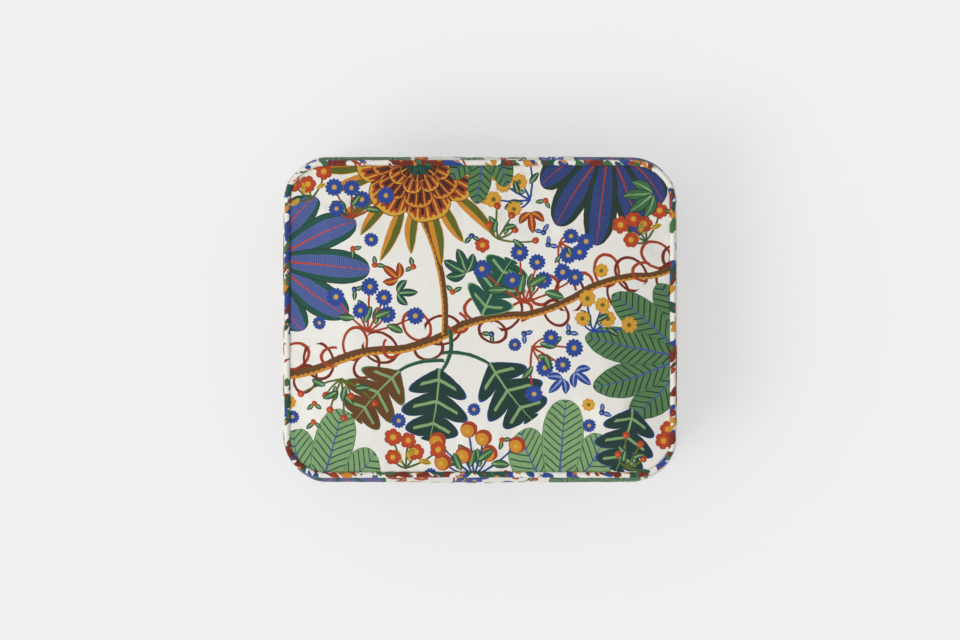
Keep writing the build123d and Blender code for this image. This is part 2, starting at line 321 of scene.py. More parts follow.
def stem_group(name):
    """A stem from one point to another, bowed and tapered, with a ragged lighter underside."""
    tree, under, px, py, g = motif(
        name, ["Fill", "Shade"], PLACED + ("Length", "Width", "Taper", "Bend")
    )
    along, across = local(px, py, g)
    u = along / g["Length"]
    v = across - g["Bend"] * u * (1.0 - u) * 4.0
    half = g["Width"] * (1.0 - g["Taper"] * u)
    past = higher_of(-along, along - g["Length"])
    gap = lower_of(half - absolute(v), half - past)
    colour = blend_colour(inside(gap), under, g["Fill"])
    ragged = -v - half * (0.38 + sine(along * 1.5) * 0.14)
    colour = blend_colour(inside(gap) * inside(ragged), colour, g["Shade"])
    return end_group(tree, {"Color": colour})


def berry_group(name):
    """A round berry or fruit with an outline and a lighter side."""
    tree, under, px, py, g = motif(name, ["Fill", "Line", "Light"], ("X", "Y", "Radius"))
    distance, _ = polar(px, py, g)
    colour = blend_colour(inside(g["Radius"] - distance), under, g["Line"])
    lx = px - g["X"] + g["Radius"] * 0.2
    ly = py - g["Y"] + g["Radius"] * 0.2
    body = inside(g["Radius"] * 0.78 - root(lx * lx + ly * ly)) * inside(g["Radius"] * 0.92 - distance)
    colour = blend_colour(body, colour, g["Fill"])
    glint = inside(g["Radius"] * 0.26 - root(lx * lx + ly * ly))
    return end_group(tree, {"Color": blend_colour(glint, colour, g["Light"])})


GROUPS = {
    "small_leaf": leaf_group("motif_small_leaf", 0.7),
    "veined": leaf_group("motif_veined_leaf", 0.62, 0.5, "veined"),
    "broad": leaf_group("motif_broad_leaf", 0.45, 0.5, "veined"),
    "dotted": leaf_group("motif_dotted_leaf", 0.5, 0.6, "dotted"),
    "lobed": leaf_group("motif_lobed_leaf", 0.4, 0.35, "lobed"),
    "ray": leaf_group("motif_ray", 0.7, -0.3, "halved"),
    "flower": flower_group("motif_flower"),
    "petals": petal_ring_group("motif_petals"),
    "ring": ring_group("motif_tendril"),
    "stem": stem_group("motif_stem"),
    "berry": berry_group("motif_berry"),
}


OVERLAP = 40  # how far past a closed strip's ends its motifs are repeated


def facing(degrees):
    turn = math.radians(degrees)
    return math.cos(turn), math.sin(turn)


class Print:
    """A list of motifs on a stretch of cloth, in painting order."""

    def __init__(self):
        self.motifs = []
        self.taken = []

    def add(self, kind, x, y, reach, covers, **values):
        """covers lists the circles that the motif takes up."""
        self.motifs.append((kind, x, y, reach, values))
        self.taken += covers

    def leaf(self, kind, x, y, angle, length, width, bend, colours):
        """x and y are the leaf's foot; width is its half width and bend its sideways bow."""
        c, s = facing(angle)
        covers = []
        for k in range(1, 10):
            hump = 4 * (k / 10) * (1 - k / 10)
            along, across = length * k / 10, bend * hump / 4
            at = (x + c * along - s * across, y + s * along + c * across)
            covers.append((*at, width * hump ** 0.5 * 0.85))
        self.add(
            kind, x + c * length / 2, y + s * length / 2, length / 2 + width * 0.6 + abs(bend) / 4, covers,
            X=x, Y=y, Cos=c, Sin=s, Length=length, Width=width, Bend=bend, **colours,
        )

    def stem(self, x, y, to_x, to_y, width, bend=0.0, taper=0.5, fill=OLIVE, shade=OLIVE):
        """width is the stem's half width at its foot."""
        length = math.hypot(to_x - x, to_y - y)
        room = width + abs(bend) / 2
        covers = [(x + (to_x - x) * k / 10, y + (to_y - y) * k / 10, room) for k in range(11)]
        self.add(
            "stem", (x + to_x) / 2, (y + to_y) / 2, length / 2 + width + abs(bend), covers,
            X=x, Y=y, Cos=(to_x - x) / length, Sin=(to_y - y) / length, Length=length, Width=width,
            Taper=taper, Bend=bend, Fill=fill, Shade=shade,
        )

    def flower(self, x, y, radius, petals, turn, fill, line, eye, ring):
        self.add(
            "flower", x, y, radius, [(x, y, radius)], X=x, Y=y, Radius=radius, Petals=float(petals),
            Turn=turn, Fill=fill, Line=line, Eye=eye, Ring=ring, **{"Eye Radius": radius * 0.36},
        )

    def berry(self, x, y, radius, fill, line, light):
        colours = {"Fill": fill, "Line": line, "Light": light}
        self.add("berry", x, y, radius, [(x, y, radius)], X=x, Y=y, Radius=radius, **colours)

    def tendril(self, x, y, radius, angle, opening=2.0, width=1.25, fill=RED_BROWN):
        c, s = facing(angle)
        covers = [(x + radius * math.cos(k * math.pi / 5), y + radius * math.sin(k * math.pi / 5), 1.6)
                  for k in range(10)]
        self.add(
            "ring", x, y, radius + 1.5, covers, X=x, Y=y, Cos=c, Sin=s, Radius=radius, Width=width,
            Open=opening, Fill=fill,
        )

    def fan(self, kind, x, y, heading, spread, count, length, width, colours):
        """Leaves that spread from one point, the longest in the middle, painted from the outside in."""
        for i in sorted(range(count), key=lambda i: -abs(i - (count - 1) / 2)):
            share = (i - (count - 1) / 2) / max(count - 1, 1) * 2
            size = length * (1.0 - 0.22 * share * share)
            self.leaf(kind, x, y, heading + share * spread, size, width, length * 0.3 * share, colours)

    def bloom(self, x, y, radius, rays=22):
        """The large warm bloom: two-toned rays, four rings of streaked petals and an eye."""
        for i in range(rays):
            angle = i * 360 / rays + 4
            c, s = facing(angle)
            foot = radius * 0.7
            reach = radius * (1.72 if i % 2 else 1.5) - foot
            self.leaf(
                "ray", x + c * foot, y + s * foot, angle, reach, radius * 0.1,
                radius * (0.16 if i % 2 else -0.12), RAY,
            )
        rings = (
            (1.0, 7, 0.0, 30.0, RUST, DARK_BROWN, YELLOW),
            (0.76, 8, 0.5, 24.0, RED_BROWN, DARK_BROWN, ORANGE),
            (0.54, 9, 0.1, 16.0, RUST, DARK_BROWN, YELLOW),
            (0.35, 7, 0.2, 12.0, DARK_BROWN, RED_BROWN, ORANGE),
        )
        for share, petals, turn, streaks, fill, shade, edge in rings:
            self.add(
                "petals", x, y, radius * share, [(x, y, radius * share)], X=x, Y=y, Radius=radius * share,
                Petals=float(petals), Turn=turn, Streaks=streaks, Fill=fill, Shade=shade, Edge=edge,
                Line=RED_BROWN,
            )
        self.flower(x, y, radius * 0.24, 9, 0.2, TEAL, DEEP, LIGHT_GREEN, BLUE)

    def branch(self, points, width):
        """A woody branch through the points, with tendrils that loop round it."""
        for i, (a, b) in enumerate(zip(points, points[1:])):
            middle_x, middle_y = (a[0] + b[0]) / 2, (a[1] + b[1]) / 2
            self.tendril(middle_x - 9, middle_y + 9, 12.0, 30 + 50 * i, 2.0, 1.3, RUST)
            self.tendril(middle_x + 10, middle_y + 6, 14.0, 110 + 40 * i, 0.9)
            self.tendril(middle_x, middle_y - 8, 10.5, 250 - 30 * i)
            bend = 2.6 if i % 2 else -2.6
            self.stem(*a, *b, width * (1 - 0.04 * i), bend, 0.05, BROWN, ORANGE)
            self.tendril(b[0] - 3, b[1] + 3, 9.0, 70 * i, 0.35, 1.3, RUST)

    def sprig(self, x, y, heading, count, size, look):
        """A stem that forks into flowers or berries, with small leaves."""
        for i in range(count):
            share = (i - (count - 1) / 2) / max(count - 1, 1) * 2
            angle = heading + share * look["spread"]
            c, s = facing(angle)
            reach = size * (0.85 + 0.33 * math.cos(i * 2.4))
            tip = (x + c * reach, y + s * reach)
            self.stem(x, y, *tip, 0.85, 2.0 * share, 0.2, *look["stem"])
            self.leaf(
                "small_leaf", x + (tip[0] - x) * 0.4, y + (tip[1] - y) * 0.4, angle + (42 if i % 2 else -42),
                size * 0.42, size * 0.1, 1.5, look["leaf"],
            )
            if "petals" in look:
                size_here = look["size"] * (1.0 + 0.12 * math.sin(i * 3))
                self.flower(*tip, size_here, look["petals"], i * 0.37, *look["bloom"])
            else:
                self.berry(*tip, look["size"], *look["bloom"])

    def fill(self, low, high, seed, around=None):
        """Fill the bare ground with small motifs, the largest first, each with the room that it needs.

        around is the length of a closed strip, whose ends show the same motifs.
        """
        rng = random.Random(seed)
        kinds = (
            (14.5, 700, self.fill_sprig), (9.0, 900, self.fill_leaves),
            (6.0, 900, self.fill_flower), (4.4, 900, self.fill_berry),
        )
        for need, tries, draw in kinds:
            taken = np.array(self.taken)
            for _ in range(tries):
                x, y = rng.uniform(low[0], high[0]), rng.uniform(low[1], high[1])
                heading, choice = rng.uniform(0, 360), rng.random()
                if (np.hypot(taken[:, 0] - x, taken[:, 1] - y) - taken[:, 2]).min() < need:
                    continue
                shifts = {0}
                if around:
                    shifts |= {around if x < OVERLAP else 0, -around if x > around - OVERLAP else 0}
                for shift in sorted(shifts):
                    draw(x + shift, y, heading, choice)
                taken = np.array(self.taken)

    def fill_sprig(self, x, y, heading, choice):
        c, s = facing(heading)
        look = (DAISY, BERRIES, BLOSSOM, POPPY)[int(choice * 4)]
        self.sprig(x - 11 * c, y - 11 * s, heading, 5, 19, look)

    def fill_leaves(self, x, y, heading, choice):
        c, s = facing(heading)
        colours = (SMALL_DEEP, SMALL_GREEN, SMALL_OLIVE, SMALL_BLUE, SMALL_RED)[int(choice * 5)]
        self.fan("small_leaf", x - 7 * c, y - 7 * s, heading, 52, 3, 15.5, 3.2, colours)

    def fill_flower(self, x, y, heading, choice):
        look = (DAISY, BLOSSOM, DAISY, POPPY)[int(choice * 4)]
        self.flower(x, y, 4.9 + choice, look["petals"], choice, *look["bloom"])

    def fill_berry(self, x, y, heading, choice):
        colours = (SMALL_GREEN, SMALL_DEEP, SMALL_BLUE)[int(choice * 3)]
        self.leaf("small_leaf", x, y, heading, 8.0, 2.0, 0.8, colours)
        self.leaf("small_leaf", x, y, heading + 105, 7.0, 1.9, -0.8, colours)
        self.berry(x, y, 2.2, *(BERRIES if choice < 0.6 else BLUE_BERRIES)["bloom"])


def leaf_colours(fill, rim, rib, **more):
    return {"Fill": fill, "Rim": rim, "Rib": rib, **more}


DOTTED = leaf_colours(TEAL, DEEP, RED_ORANGE, Panel=rgb("5869A6"), Dot=rgb("1F2F66"))
DOTTED_DEEP = leaf_colours(DEEP, DARK_BROWN, RUST, Panel=rgb("36498A"), Dot=rgb("152040"))
VEINED = leaf_colours(MID_GREEN, GREEN, MID_BLUE, Vein=DEEP)
PALE_VEINED = leaf_colours(LIGHT_GREEN, MID_GREEN, MID_BLUE, Vein=TEAL)
LOBED = leaf_colours(DEEP, BLUE, LIGHT_GREEN, Vein=LIGHT_GREEN)
LOBED_GREEN = leaf_colours(TEAL, LIGHT_GREEN, LIGHT_GREEN, Vein=LIGHT_GREEN)
LOBED_BROWN = leaf_colours(BROWN, MID_GREEN, LIGHT_GREEN, Vein=LIGHT_GREEN)
RAY = leaf_colours(OLIVE, ORANGE, OLIVE)
SMALL_GREEN = leaf_colours(GREEN, DEEP, LIGHT_GREEN)
SMALL_DEEP = leaf_colours(TEAL, DEEP, LIGHT_GREEN)
SMALL_OLIVE = leaf_colours(OLIVE, YELLOW, YELLOW)
SMALL_BLUE = leaf_colours(BLUE, BLUE, PALE_BLUE)
SMALL_RED = leaf_colours(RUST, RED_BROWN, ORANGE)


def look(stem, leaf, spread, size, bloom, **more):
    return {"stem": stem, "leaf": leaf, "spread": spread, "size": size, "bloom": bloom, **more}


DAISY = look((RUST, RUST), SMALL_GREEN, 58, 6.6, (BLUE, BLUE, YELLOW, MID_BLUE), petals=13)
BLOSSOM = look((BLUE, BLUE), SMALL_DEEP, 60, 6.2, (YELLOW, ORANGE, OLIVE, ORANGE), petals=8)
POPPY = look((OLIVE, TEAL), SMALL_OLIVE, 55, 6.4, (RED_ORANGE, RUST, YELLOW, ORANGE), petals=6)
BERRIES = look((OLIVE, OLIVE), SMALL_GREEN, 62, 2.7, (RED_ORANGE, RUST, ORANGE))
BLUE_BERRIES = look((OLIVE, OLIVE), SMALL_OLIVE, 62, 2.5, (BLUE, DEEP, PALE_BLUE))
FRUIT = look((BLUE, TEAL), SMALL_GREEN, 60, 6.4, (ORANGE, RUST, YELLOW))


def lid_print():
    """The print as it falls on the lid: x and y from the middle of the panel."""
    p = Print()
    p.branch([(-156, -42), (-108, -30), (-62, -22), (-14, -4), (34, 4), (82, 24), (128, 34), (158, 48)], 3.5)
    p.stem(-44, 80, -26, -8, 2.6, 6, 0.1, BROWN, ORANGE)
    p.bloom(-46, 122, 48)
    p.fan("dotted", -156, 46, -6, 62, 5, 74, 13.0, DOTTED)
    p.fan("veined", 154, -28, 168, 60, 5, 76, 13.5, VEINED)
    p.fan("dotted", 98, 130, 262, 54, 5, 74, 12.5, DOTTED_DEEP)
    p.fan("broad", 60, -132, 86, 34, 3, 72, 16.0, PALE_VEINED)
    p.fan("broad", -122, -134, 74, 36, 3, 70, 15.5, PALE_VEINED)
    p.stem(-22, -8, -30, -40, 1.7, 4, 0.2, TEAL, GREEN)
    p.stem(-26, -24, 12, -36, 1.5, 4, 0.2, TEAL, GREEN)
    p.stem(-28, -30, -66, -42, 1.5, -4, 0.2, TEAL, GREEN)
    p.leaf("lobed", -30, -36, 262, 56, 25, 6, LOBED)
    p.leaf("lobed", 8, -32, 306, 54, 25, -6, LOBED)
    p.leaf("lobed", -60, -38, 228, 50, 24, -6, LOBED_BROWN)
    p.leaf("lobed", 2, 4, 62, 48, 22, 5, LOBED_GREEN)
    p.leaf("lobed", 116, -66, 256, 50, 23, 6, LOBED)
    p.sprig(34, 14, 84, 6, 36, DAISY)
    p.sprig(38, 92, 150, 5, 26, BLOSSOM)
    p.sprig(-96, 78, 92, 5, 26, DAISY)
    p.sprig(-128, 92, 120, 4, 20, POPPY)
    p.sprig(-84, -8, 76, 6, 32, DAISY)
    p.sprig(-104, -44, 262, 6, 28, BERRIES)
    p.sprig(40, -20, 330, 5, 30, DAISY)
    p.sprig(86, -8, 70, 5, 24, BLOSSOM)
    p.sprig(-4, -118, 96, 7, 34, FRUIT)
    p.sprig(-56, -112, 84, 5, 24, POPPY)
    p.sprig(112, -112, 60, 5, 24, BERRIES)
    p.sprig(14, 62, 60, 5, 24, BERRIES)
    p.sprig(126, 60, 120, 5, 22, POPPY)
    p.fan("small_leaf", -10, 36, 130, 60, 4, 20, 4.2, SMALL_DEEP)
    p.fan("small_leaf", 132, 96, 200, 50, 4, 24, 4.6, SMALL_GREEN)
    p.fan("veined", 4, 132, 262, 38, 3, 44, 9.0, VEINED)
    p.fill((-150, -125), (150, 125), 4)
    return p


def wall_print(length):
    """The same cloth along the walls: a vine with fans, flowers and berries in turn."""
    p = Print()
    repeats = 16
    step = length / repeats
    line = [math.sin(i * 2 * math.pi * 5 / repeats) * 13 + 46 for i in range(repeats + 1)]
    for i in range(-1, repeats + 1):
        x = i * step
        low, high = line[i % repeats], line[(i + 1) % repeats]
        middle = (low + high) / 2
        p.tendril(x + step * 0.38, middle + 9, 12, 60 * i, 2.0, 1.3, RUST)
        p.tendril(x + step * 0.66, middle - 7, 11, 40 * i, 0.9)
        p.stem(x, low, x + step, high, 3.3, 3.0 if i % 2 else -3.0, 0.03, BROWN, ORANGE)
        kind = i % 8
        if kind in (0, 5):
            p.fan("dotted", x + 22, -8, 92, 48, 4, 60, 12.0, DOTTED if kind else DOTTED_DEEP)
        elif kind == 2:
            p.fan("broad", x + 18, -6, 84, 44, 4, 58, 13.0, PALE_VEINED)
        elif kind == 7:
            p.fan("veined", x + 18, -6, 84, 44, 4, 58, 12.0, VEINED)
        elif kind == 4:
            p.bloom(x + 26, 2, 30, 18)
        else:
            p.leaf("lobed", x + 14, low - 2, 240, 44, 20, 5, LOBED)
            p.leaf("lobed", x + 34, high - 4, 296, 42, 20, -5, LOBED_BROWN if kind == 3 else LOBED_GREEN)
        if kind == 1:
            p.fan("veined", x + 24, 112, 268, 50, 4, 56, 11.0, VEINED)
        elif kind == 6:
            p.fan("dotted", x + 24, 112, 268, 50, 4, 56, 11.0, DOTTED)
        elif kind == 3:
            p.bloom(x + 22, 108, 28, 18)
        else:
            p.sprig(x + step * 0.5, middle + 4, 90, 5, 32, (DAISY, BLOSSOM, FRUIT)[i % 3])
        p.sprig(x + step * 0.9, high - 4, 270, 5, 26, (BERRIES, DAISY, POPPY)[i % 3])
    p.fill((0, 2), (length, 100), 7, length)
    return p


# ---------------------------------------------------------------- materials
def new_material(name, metal=0.0, rough=0.6, specular=0.4):
    material = bpy.data.materials.new(name)
    material.use_nodes = True
    tree = material.node_tree
    shader = tree.nodes["Principled BSDF"]
    shader.inputs["Metallic"].default_value = metal
    shader.inputs["Roughness"].default_value = rough
    shader.inputs["Specular IOR Level"].default_value = specular
    return material, tree, shader


def noise(tree, vector, scale, detail=2.0, rough=0.5):
    inputs = {"Vector": vector, "Scale": scale, "Detail": detail, "Roughness": rough}
    return Value(add_node(tree, "TexNoise", inputs).outputs["Fac"])


def cells(tree, vector, scale):
    """Distance from the middle of the nearest cell."""
    return Value(add_node(tree, "TexVoronoi", {"Vector": vector, "Scale": scale}).outputs["Distance"])


def bump(tree, shader, height):
    """Bump from a height in metres."""
    node = add_node(tree, "Bump", {"Strength": 0.7, "Distance": 1.0, "Height": height})
    tree.links.new(node.outputs[0], shader.inputs["Normal"])


def object_place(tree):
    """The part's own coordinates, in millimetres."""
    place = add_node(tree, "TexCoord", {}).outputs["Object"]
    return vector_math(tree, "MULTIPLY", place, (1 / MM, 1 / MM, 1 / MM))


def shaded(colour, factor):
    return tuple(c * factor for c in colour[:3]) + (1.0,)


def weave_group(name, pitch, depth):
    """Plain weave with slubs: a height, and a colour factor of slub tone and painted shade between the
    threads.
    """
    tree, given = new_group(name, {"Place": "Vector"}, {"Height": "Float", "Shade": "Float"})
    place = given["Place"]
    x, y, _ = split_xyz(tree, place)
    turn = math.pi / pitch
    across = sine(x * turn)
    along = sine(y * turn)
    warp_slub = noise(tree, vector_math(tree, "MULTIPLY", place, (2.2, 0.10, 1.0)), 1.0)
    weft_slub = noise(tree, vector_math(tree, "MULTIPLY", place, (0.10, 2.2, 1.0)), 1.0)
    threads = across * along * 0.5 + absolute(across) * 0.25 + absolute(along) * 0.25
    slubs = warp_slub + weft_slub
    # Shade: uneven slub tone, with painted light on the thread crests and painted shade where the threads dip
    return end_group(tree, {
        "Height": (threads + slubs * 0.8) * depth, "Shade": 0.84 + slubs * 0.13 + threads * 0.035,
    })


CANVAS = weave_group("weave_canvas", 0.42, 0.10 * MM)
FINE = weave_group("weave_fine", 0.3, 0.06 * MM)


def cloth_place(tree):
    """The cloth's flat coordinates in millimetres."""
    return add_node(tree, "UVMap", {}, uv_map="cloth").outputs[0]


def woven_surface(tree, shader, place, colour, weave_tree, roughness=0.86):
    """A woven surface under a printed or dyed colour."""
    weave = add_node(tree, "Group", {}, node_tree=weave_tree)
    tree.links.new(place, weave.inputs["Place"])
    shade = Value(weave.outputs["Shade"])
    # the weave's factor, slub tone with painted shade between the threads, multiplies the colour here
    grey = add_node(tree, "CombineColor", {channel: shade for channel in range(3)}).outputs[0]
    tint = add_node(tree, "Mix", {}, data_type="RGBA", blend_type="MULTIPLY")
    set_inputs(tree, tint, {0: 1.0, 6: colour, 7: grey})
    set_inputs(tree, shader, {
        "Base Color": tint.outputs[2], "Roughness": calc("MULTIPLY_ADD", shade, -0.25, roughness + 0.22),
        "Sheen Weight": 0.12, "Sheen Roughness": 0.6, "Specular IOR Level": 0.25,
    })
    bump(tree, shader, weave.outputs["Height"])


WOBBLE = 1.1  # how far the hand-drawn lines stray, in millimetres


def print_material(name, motifs):
    """Canvas printed with the given motifs."""
    material, tree, shader = new_material(name)
    plain = cloth_place(tree)
    stray = add_node(tree, "TexNoise", {"Vector": plain, "Scale": 0.16, "Detail": 2.0}).outputs["Color"]
    place = vector_math(tree, "MULTIPLY_ADD", stray, (WOBBLE, WOBBLE, 0.0), plain)
    colour = CREAM
    for kind, x, y, reach, values in motifs:
        node = add_node(tree, "Group", {}, node_tree=GROUPS[kind])
        set_inputs(tree, node, {"Color": colour, "Place": place, **values})
        colour = node.outputs["Color"]
    woven_surface(tree, shader, plain, colour, CANVAS)
    return material


MOST_MOTIFS = 34  # in one material; many more overflow the renderer's shader stack
SMALLEST_CELL = 6
CELL_MARGIN = 3.0  # of cloth round a cell, for the wobble
WALL_CELL, LID_CELL = 36.0, 40.0


def motifs_in(motifs, low_x, low_y, size):
    """The motifs that can reach a square cell of the cloth."""
    here = []
    for item in motifs:
        gap_x = max(low_x - CELL_MARGIN - item[1], item[1] - low_x - size - CELL_MARGIN, 0)
        gap_y = max(low_y - CELL_MARGIN - item[2], item[2] - low_y - size - CELL_MARGIN, 0)
        if math.hypot(gap_x, gap_y) < item[3]:
            here.append(item)
    return here


def print_cloth(piece, motifs, size, label):
    """Split the cloth into cells whose materials hold only the motifs on them, smaller where it is dense."""
    mesh = piece.data
    layer = mesh.uv_layers["cloth"].data
    middles = {}
    for face in mesh.polygons:
        u = sum(layer[i].uv[0] for i in face.loop_indices) / face.loop_total
        v = sum(layer[i].uv[1] for i in face.loop_indices) / face.loop_total
        middles[face.index] = (u, v)

    def paint(faces, here, low_x, low_y, size):
        here = motifs_in(here, low_x, low_y, size)
        if len(here) <= MOST_MOTIFS or size < SMALLEST_CELL:
            name = f"{label}_{round(low_x)}_{round(low_y)}_{round(size)}"
            material = bpy.data.materials.get(name) or print_material(name, here)
            mesh.materials.append(material)
            for index in faces:
                mesh.polygons[index].material_index = len(mesh.materials) - 1
            return
        half = size / 2
        for x in (low_x, low_x + half):
            for y in (low_y, low_y + half):
                quarter = (x > low_x, y > low_y)
                part = [
                    i for i in faces
                    if (middles[i][0] >= low_x + half, middles[i][1] >= low_y + half) == quarter
                ]
                if part:
                    paint(part, here, x, y, half)

    by_cell = {}
    for index, (u, v) in middles.items():
        by_cell.setdefault((math.floor(u / size), math.floor(v / size)), []).append(index)
    for key in sorted(by_cell):
        paint(by_cell[key], motifs, key[0] * size, key[1] * size, size)


def dyed_cloth(name, colour, weave_tree, roughness=0.88):
    """Plain dyed cloth, a little uneven in colour."""
    material, tree, shader = new_material(name)
    place = cloth_place(tree)
    toned = blend_colour(noise(tree, place, 0.06, 3.0), shaded(colour, 0.75), colour)
    woven_surface(tree, shader, place, toned, weave_tree, roughness)
    return material


def ribbed_tape(name, colour, pitch):
    """Grosgrain: ribs across the tape and fine threads along it, with painted light on the rib crests and
    painted shade between them.
    """
    material, tree, shader = new_material(name, rough=0.8, specular=0.25)
    place = cloth_place(tree)
    x, y, _ = split_xyz(tree, place)
    rib = absolute(sine(x * (math.pi / pitch)))
    thread = absolute(sine(y * (math.pi / 0.45)))
    # painted light: lighter on the rib crests and darker in the grooves, mixed with uneven tone from noise
    lit = calc("MULTIPLY_ADD", rib, 0.5, noise(tree, place, 0.4, 3.0) * 0.5, clamp=True)
    toned = blend_colour(lit, shaded(colour, 0.62), shaded(colour, 1.12))
    set_inputs(tree, shader, {"Base Color": toned, "Sheen Weight": 0.15})
    bump(tree, shader, (root(rib) * 0.16 + thread * 0.05) * MM)
    return material


def foam_material():
    material, tree, shader = new_material("foam_cells", rough=0.95, specular=0.2)
    place = object_place(tree)
    pores = cells(tree, place, 1.3)
    shade = calc("MULTIPLY_ADD", pores, 0.5, noise(tree, place, 0.05) * 0.4, clamp=True)
    set_inputs(tree, shader, {"Base Color": blend_colour(shade, rgb("EFEDE6"), rgb("CFC9BC"))})
    bump(tree, shader, pores * (0.12 * MM))
    return material


def leather_material():
    """Tanned leather: fine pebble grain, mottled colour and paler, smoother wear."""
    material, tree, shader = new_material("leather_grain", rough=0.5, specular=0.4)
    place = object_place(tree)
    grain = cells(tree, place, 1.9)
    wear = noise(tree, place, 0.5, 5.0, 0.7)
    tan = blend_colour(noise(tree, place, 0.14, 4.0, 0.6), rgb("6E4325"), rgb("9C683A"))
    tan = blend_colour(calc("MULTIPLY_ADD", wear, 1.6, -0.75, clamp=True), tan, rgb("B98650"))
    set_inputs(tree, shader, {"Base Color": tan, "Roughness": calc("MULTIPLY_ADD", wear, -0.25, 0.68)})
    bump(tree, shader, (grain * 0.14 + wear * 0.10) * MM)
    return material


def brass_material():
    """Antique brass: brushed, darker in patches."""
    material, tree, shader = new_material("brass_antique", metal=1.0, rough=0.34)
    place = object_place(tree)
    brushed = noise(tree, vector_math(tree, "MULTIPLY", place, (0.5, 6.0, 6.0)), 1.0, 3.0)
    aged = calc("MULTIPLY_ADD", noise(tree, place, 0.35, 4.0, 0.65), 2.2, -0.75, clamp=True)
    rough = calc("MULTIPLY_ADD", brushed, 0.22, aged * 0.16 + 0.2)
    colour = blend_colour(aged, rgb("C79A4B"), rgb("8A6428"))
    set_inputs(tree, shader, {"Base Color": colour, "Roughness": rough})
    bump(tree, shader, brushed * (0.02 * MM))
    return material


def plastic_material(name, colour, rough, grain=4.0):
    """Moulded plastic: satin, with a fine texture and slight scuffs."""
    material, tree, shader = new_material(name, rough=rough, specular=0.45)
    place = object_place(tree)
    scuff = noise(tree, place, 0.3, 4.0, 0.7)
    worn = blend_colour(scuff, shaded(colour, 0.8), shaded(colour, 1.15))
    uneven = calc("MULTIPLY_ADD", scuff, 0.24, rough - 0.1)
    set_inputs(tree, shader, {"Base Color": worn, "Roughness": uneven})
    bump(tree, shader, noise(tree, place, grain, 3.0) * (0.02 * MM))
    return material


def thread_material(name, colour, twist):
    """Twisted thread or cord, with painted shade in the grooves between its strands."""
    material, tree, shader = new_material(name, rough=0.75, specular=0.3)
    place = object_place(tree)
    x, y, z = split_xyz(tree, place)
    strand = absolute(sine((x + y + z * 1.4) * (math.pi / twist)))
    # painted shade: darker in the grooves of the twist and lighter on the strands, with some uneven tone from
    # noise
    lit = calc("MULTIPLY_ADD", strand, 0.7, noise(tree, place, 2.5, 3.0) * 0.4, clamp=True)
    twisted = blend_colour(lit, shaded(colour, 0.6), colour)
    set_inputs(tree, shader, {"Base Color": twisted, "Sheen Weight": 0.2})
    bump(tree, shader, strand * (0.08 * MM))
    return material


LINING_CLOTH = dyed_cloth("lining_cotton", rgb("2E5A50"), FINE)
BINDING_TAPE = ribbed_tape("binding_grosgrain", rgb("1F463F"), 0.8)
ZIP_TAPE = ribbed_tape("zip_tape_weave", rgb("7A2E1C"), 0.7)
WEBBING = ribbed_tape("webbing_ribs", rgb("80321E"), 1.6)
FOAM = foam_material()
LEATHER = leather_material()
BRASS = brass_material()
COIL = plastic_material("coil_plastic", rgb("7B2C1B"), 0.36)
BOARD = plastic_material("board_grain", rgb("3B3B3E"), 0.6, 1.5)
CORD = thread_material("cord_twist", rgb("E6DFD0"), 1.6)
THREAD = thread_material("thread_ecru", rgb("EADFC6"), 0.5)
TAN_THREAD = thread_material("thread_tan", rgb("D9B98A"), 0.5)
NET = thread_material("net_thread", rgb("4E8575"), 0.5)


# ---------------------------------------------------------------- outline and mesh helpers
ENDS_RUN, SIDES_RUN = 2 * (HALF_Y - CORNER), 2 * (HALF_X - CORNER)
BEND = CORNER * math.pi / 2
PERIMETER = 2 * ENDS_RUN + 2 * SIDES_RUN + 4 * BEND


def outline_at(s):
    """Point and outward normal of the widest outline, counter-clockwise from the middle of the back."""
    s = (s + SIDES_RUN / 2) % PERIMETER
    for turn, run in enumerate((SIDES_RUN, ENDS_RUN, SIDES_RUN, ENDS_RUN)):
        angle = math.pi / 2 * (turn + 1)
        normal = Vector((math.cos(angle), math.sin(angle)))
        heading = Vector((-normal.y, normal.x))
        reach = HALF_Y if turn % 2 == 0 else HALF_X
        if s <= run:
            return normal * reach + heading * (s - run / 2), normal
        s -= run
        if s < BEND:
            out = Vector((math.cos(angle + s / CORNER), math.sin(angle + s / CORNER)))
            centre = normal * (reach - CORNER) + heading * (run / 2)
            return centre + out * CORNER, out
        s -= BEND
    return outline_at(0.0)


def stations(pitch, low=0.0, high=None):
    """Evenly spaced (point, normal, length) round the outline, or between two lengths."""
    closed = high is None
    span = PERIMETER if closed else high - low
    steps = round(span / pitch)
    marks = [low + span * k / steps for k in range(steps + (not closed))]
    return [(*outline_at(s), s) for s in marks]


COLUMN_PITCH = 2.4 * MM
COLUMNS = stations(COLUMN_PITCH)
LAYER_COUNTS = (70, 60)


def tuck(base, normal):
    """How much further in the top seam is pulled, by the way the wall faces."""
    share = normal.y * normal.y
    bow = 1.0 - 0.35 * (base.x / HALF_X) ** 2
    pull = FRONT_TUCK * bow if normal.y < 0 else BACK_TUCK
    return share * pull - (1 - share) * END_EASE + cornered(base, normal) * 0.8 * MM


def cornered(base, normal):
    """How far round a corner a wall faces, with the soft slack towards it that bows the sides out."""
    along = abs(base.x) / HALF_X if abs(normal.y) > abs(normal.x) else abs(base.y) / HALF_Y
    return 0.55 * along ** 3 + 0.45 * (2 * normal.x * normal.y) ** 2


def arc_inset(low, apex, high, z):
    """Inset of a wall made of two arcs that meet upright at its widest height."""
    end = low if z < apex[1] else high
    rise = abs(end[1] - apex[1])
    drop = end[0] - apex[0]
    radius = (rise * rise + drop * drop) / (2 * drop)
    return apex[0] + radius - math.sqrt(max(radius * radius - (z - apex[1]) ** 2, 0.0))


def ripple(s, seed):
    """Even, gentle unevenness along a seam that joins up all the way round."""
    total = 0.0
    for k, size in ((5, 0.35), (11, 0.25), (23, 0.22), (61, 0.18)):
        total += size * math.sin(2 * math.pi * k * s / PERIMETER + seed * (k + 1) * 1.7)
    return total


